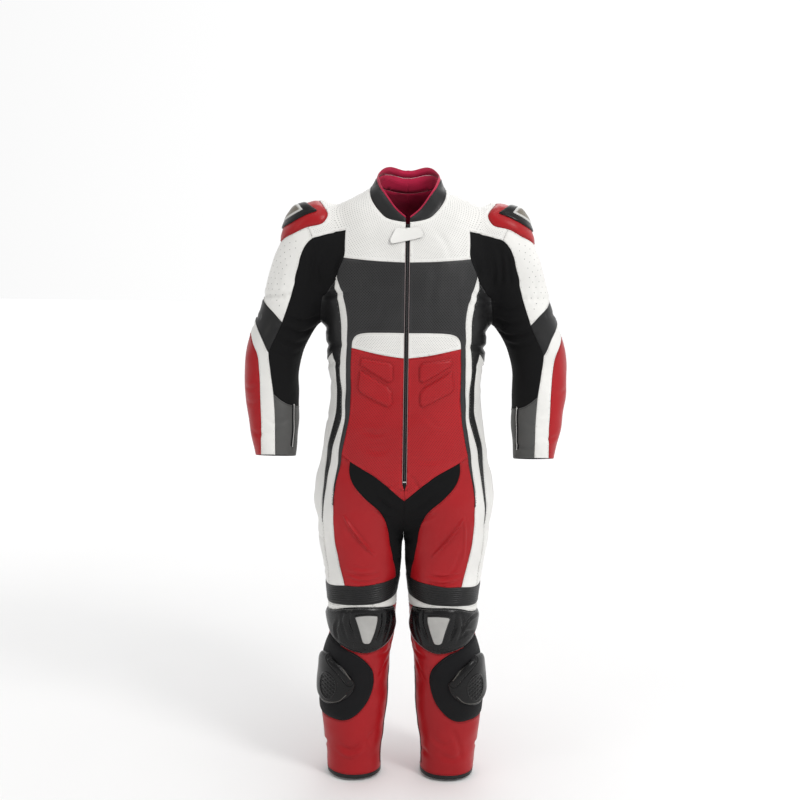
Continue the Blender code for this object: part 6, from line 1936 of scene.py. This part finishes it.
def build_tab(paths):
    """The leather tab that covers the zip's top end."""
    outline = np.array(TAB_OUTLINE + TAB_OUTLINE[:1])
    rim = resampled(outline, 0.0028)[:-1]
    inner = [(x, z) for x in np.arange(-0.038, 0.036, 0.003) for z in np.arange(-0.114, -0.076, 0.003)
             if inside_by(rim, x, z, 0.0018)]
    edges = [(k, (k + 1) % len(rim)) for k in range(len(rim))]
    maps, _, faces, *_ = delaunay_2d_cdt([Vector(p) for p in list(rim) + inner], edges,
                                         [tuple(range(len(rim)))], 1, 1e-7)
    flat = np.array([tuple(p) for p in maps])
    places = np.vstack([on_view(abs(float(x)), float(z), -1) * (1 if x >= 0 else -1, 1, 1) for x, z in flat])
    normals = outward(places)
    faces = np.array(faces)
    lift = TAB_LIFT + relief(places, paths) + 0.0022 * (np.abs(flat[:, 0]) / 0.036)**3
    shell = Shell(places, normals, faces, flat[faces], lift + TAB_THICKNESS, lift, ROLL)
    item = new_object("worn_neck_tab", shell.points, shell.faces, ("white", "lining"),
                      (np.arange(len(shell.faces)) >= shell.inner_from).astype(int), shell.maps, shell.edge)
    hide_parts("neck_tab")


def inside_by(rim, x, z, margin):
    """Whether a point lies inside an outline and at least a margin from it."""
    inside = False
    for a, b in zip(rim, np.roll(rim, -1, axis=0)):
        if (a[1] > z) != (b[1] > z) and x < a[0] + (z - a[1]) * (b[0] - a[0]) / (b[1] - a[1]):
            inside = not inside
    return inside and np.linalg.norm(rim - (x, z), axis=1).min() > margin


# ---------------------------------------------------------------- the studio
FLOOR_LEVEL = HEM - 0.006
CAMERA_PLACE = (-0.012, -2.600, -0.150)
CAMERA_PITCH = 6.85         # down
CAMERA_ROLL = 0.745
LENS = 51.98
FLOOR_HALF = 30.0
FLOOR_GLOW = (1.4, 4.5, 0.03, 0.34)     # distance from, to, strength from, to
WORLD_LIGHT = 0.79          # the studio's even light,
WORLD_ACROSS = 0.21         # how much more of it comes from +X
WORLD_BEHIND = 0.25         # and from behind


def build_studio():
    """The pale floor, which glows more further from the suit, the even light all round, four soft lamps and
    the camera.
    """
    mesh = bpy.data.meshes.new("floor")
    mesh.from_pydata([(x * FLOOR_HALF, y * FLOOR_HALF, FLOOR_LEVEL)
                      for x, y in ((-1, -1), (1, -1), (1, 1), (-1, 1))], [], [(0, 1, 2, 3)])
    material, tree, shader = begin("floor", (0.86, 0.86, 0.86), 0.85)
    place = object_place(tree)
    tone = mixed(tree, noise(tree, place, 1.5), (0.84, 0.84, 0.84, 1), (0.88, 0.88, 0.88, 1))
    tree.links.new(tone, shader.inputs["Base Color"])
    away = add(tree, "ShaderNodeVectorMath", {0: place}, operation="LENGTH").outputs["Value"]
    # painted light: the floor glows, faintly near the suit and more further out, so that it fades into the
    # bright world
    shader.inputs["Emission Color"].default_value = (1.0, 1.0, 1.0, 1.0)
    tree.links.new(ramp(tree, away, *FLOOR_GLOW), shader.inputs["Emission Strength"])
    mesh.materials.append(material)
    floor = bpy.data.objects.new("floor", mesh)
    bpy.context.scene.collection.objects.link(floor)

    world = bpy.data.worlds.new("studio")
    world.use_nodes = True
    tree = world.node_tree
    way = add(tree, "ShaderNodeSeparateXYZ", {0: add(tree, "ShaderNodeTexCoord").outputs["Generated"]})
    light = maths(tree, "MULTIPLY_ADD", way.outputs[0], WORLD_ACROSS, WORLD_LIGHT)
    light = maths(tree, "MULTIPLY_ADD", way.outputs[1], WORLD_BEHIND, light)
    background = tree.nodes["Background"]
    background.inputs["Color"].default_value = (1.0, 1.0, 1.0, 1)
    tree.links.new(light, background.inputs["Strength"])
    bpy.context.scene.world = world

    # place, point looked at, size, power, colour
    lights = (
        ("key", (2.2, -2.2, 1.9), (0.10, 0, -0.55), 1.1, 54.0, (1.0, 0.99, 0.98)),
        ("fill", (-2.6, -2.0, 1.1), (0, 0, -0.6), 1.2, 8.0, (1.0, 0.96, 0.90)),
        ("top", (0.0, -0.3, 2.6), (0, 0, -0.4), 1.4, 14.0, (1.0, 1.0, 1.0)),
        ("back", (0.4, 2.6, 1.4), (0, 0, -0.6), 2.0, 10.0, (1.0, 1.0, 1.0)),
    )
    for name, place, target, size, power, colour in lights:
        data = bpy.data.lights.new(name, "AREA")
        data.shape = "DISK"
        data.size = size
        data.energy = power
        data.color = colour
        item = bpy.data.objects.new(name, data)
        item.location = place
        item.rotation_euler = (Vector(target) - Vector(place)).to_track_quat("-Z", "Y").to_euler()
        bpy.context.scene.collection.objects.link(item)

    data = bpy.data.cameras.new("camera")
    data.lens = LENS
    data.sensor_width = 36.0
    camera = bpy.data.objects.new("camera", data)
    turn = Matrix.Rotation(math.radians(90 - CAMERA_PITCH), 4, "X")
    turn = turn @ Matrix.Rotation(math.radians(CAMERA_ROLL), 4, "Z")
    camera.matrix_world = Matrix.Translation(CAMERA_PLACE) @ turn
    bpy.context.scene.collection.objects.link(camera)
    bpy.context.scene.camera = camera
    bpy.context.scene.view_settings.view_transform = "Standard"


# ---------------------------------------------------------------- the suit
def build():
    paths = fold_paths()
    suit = Suit()
    build_pieces(suit, paths)
    build_overlays(suit, paths)
    build_zip(paths)
    build_tab(paths)
    build_trims(paths)
    for thread, parts in STITCHES.items():
        box_object(f"stitches_{thread}", np.vstack(parts), f"thread_{thread}")
    build_studio()


build()
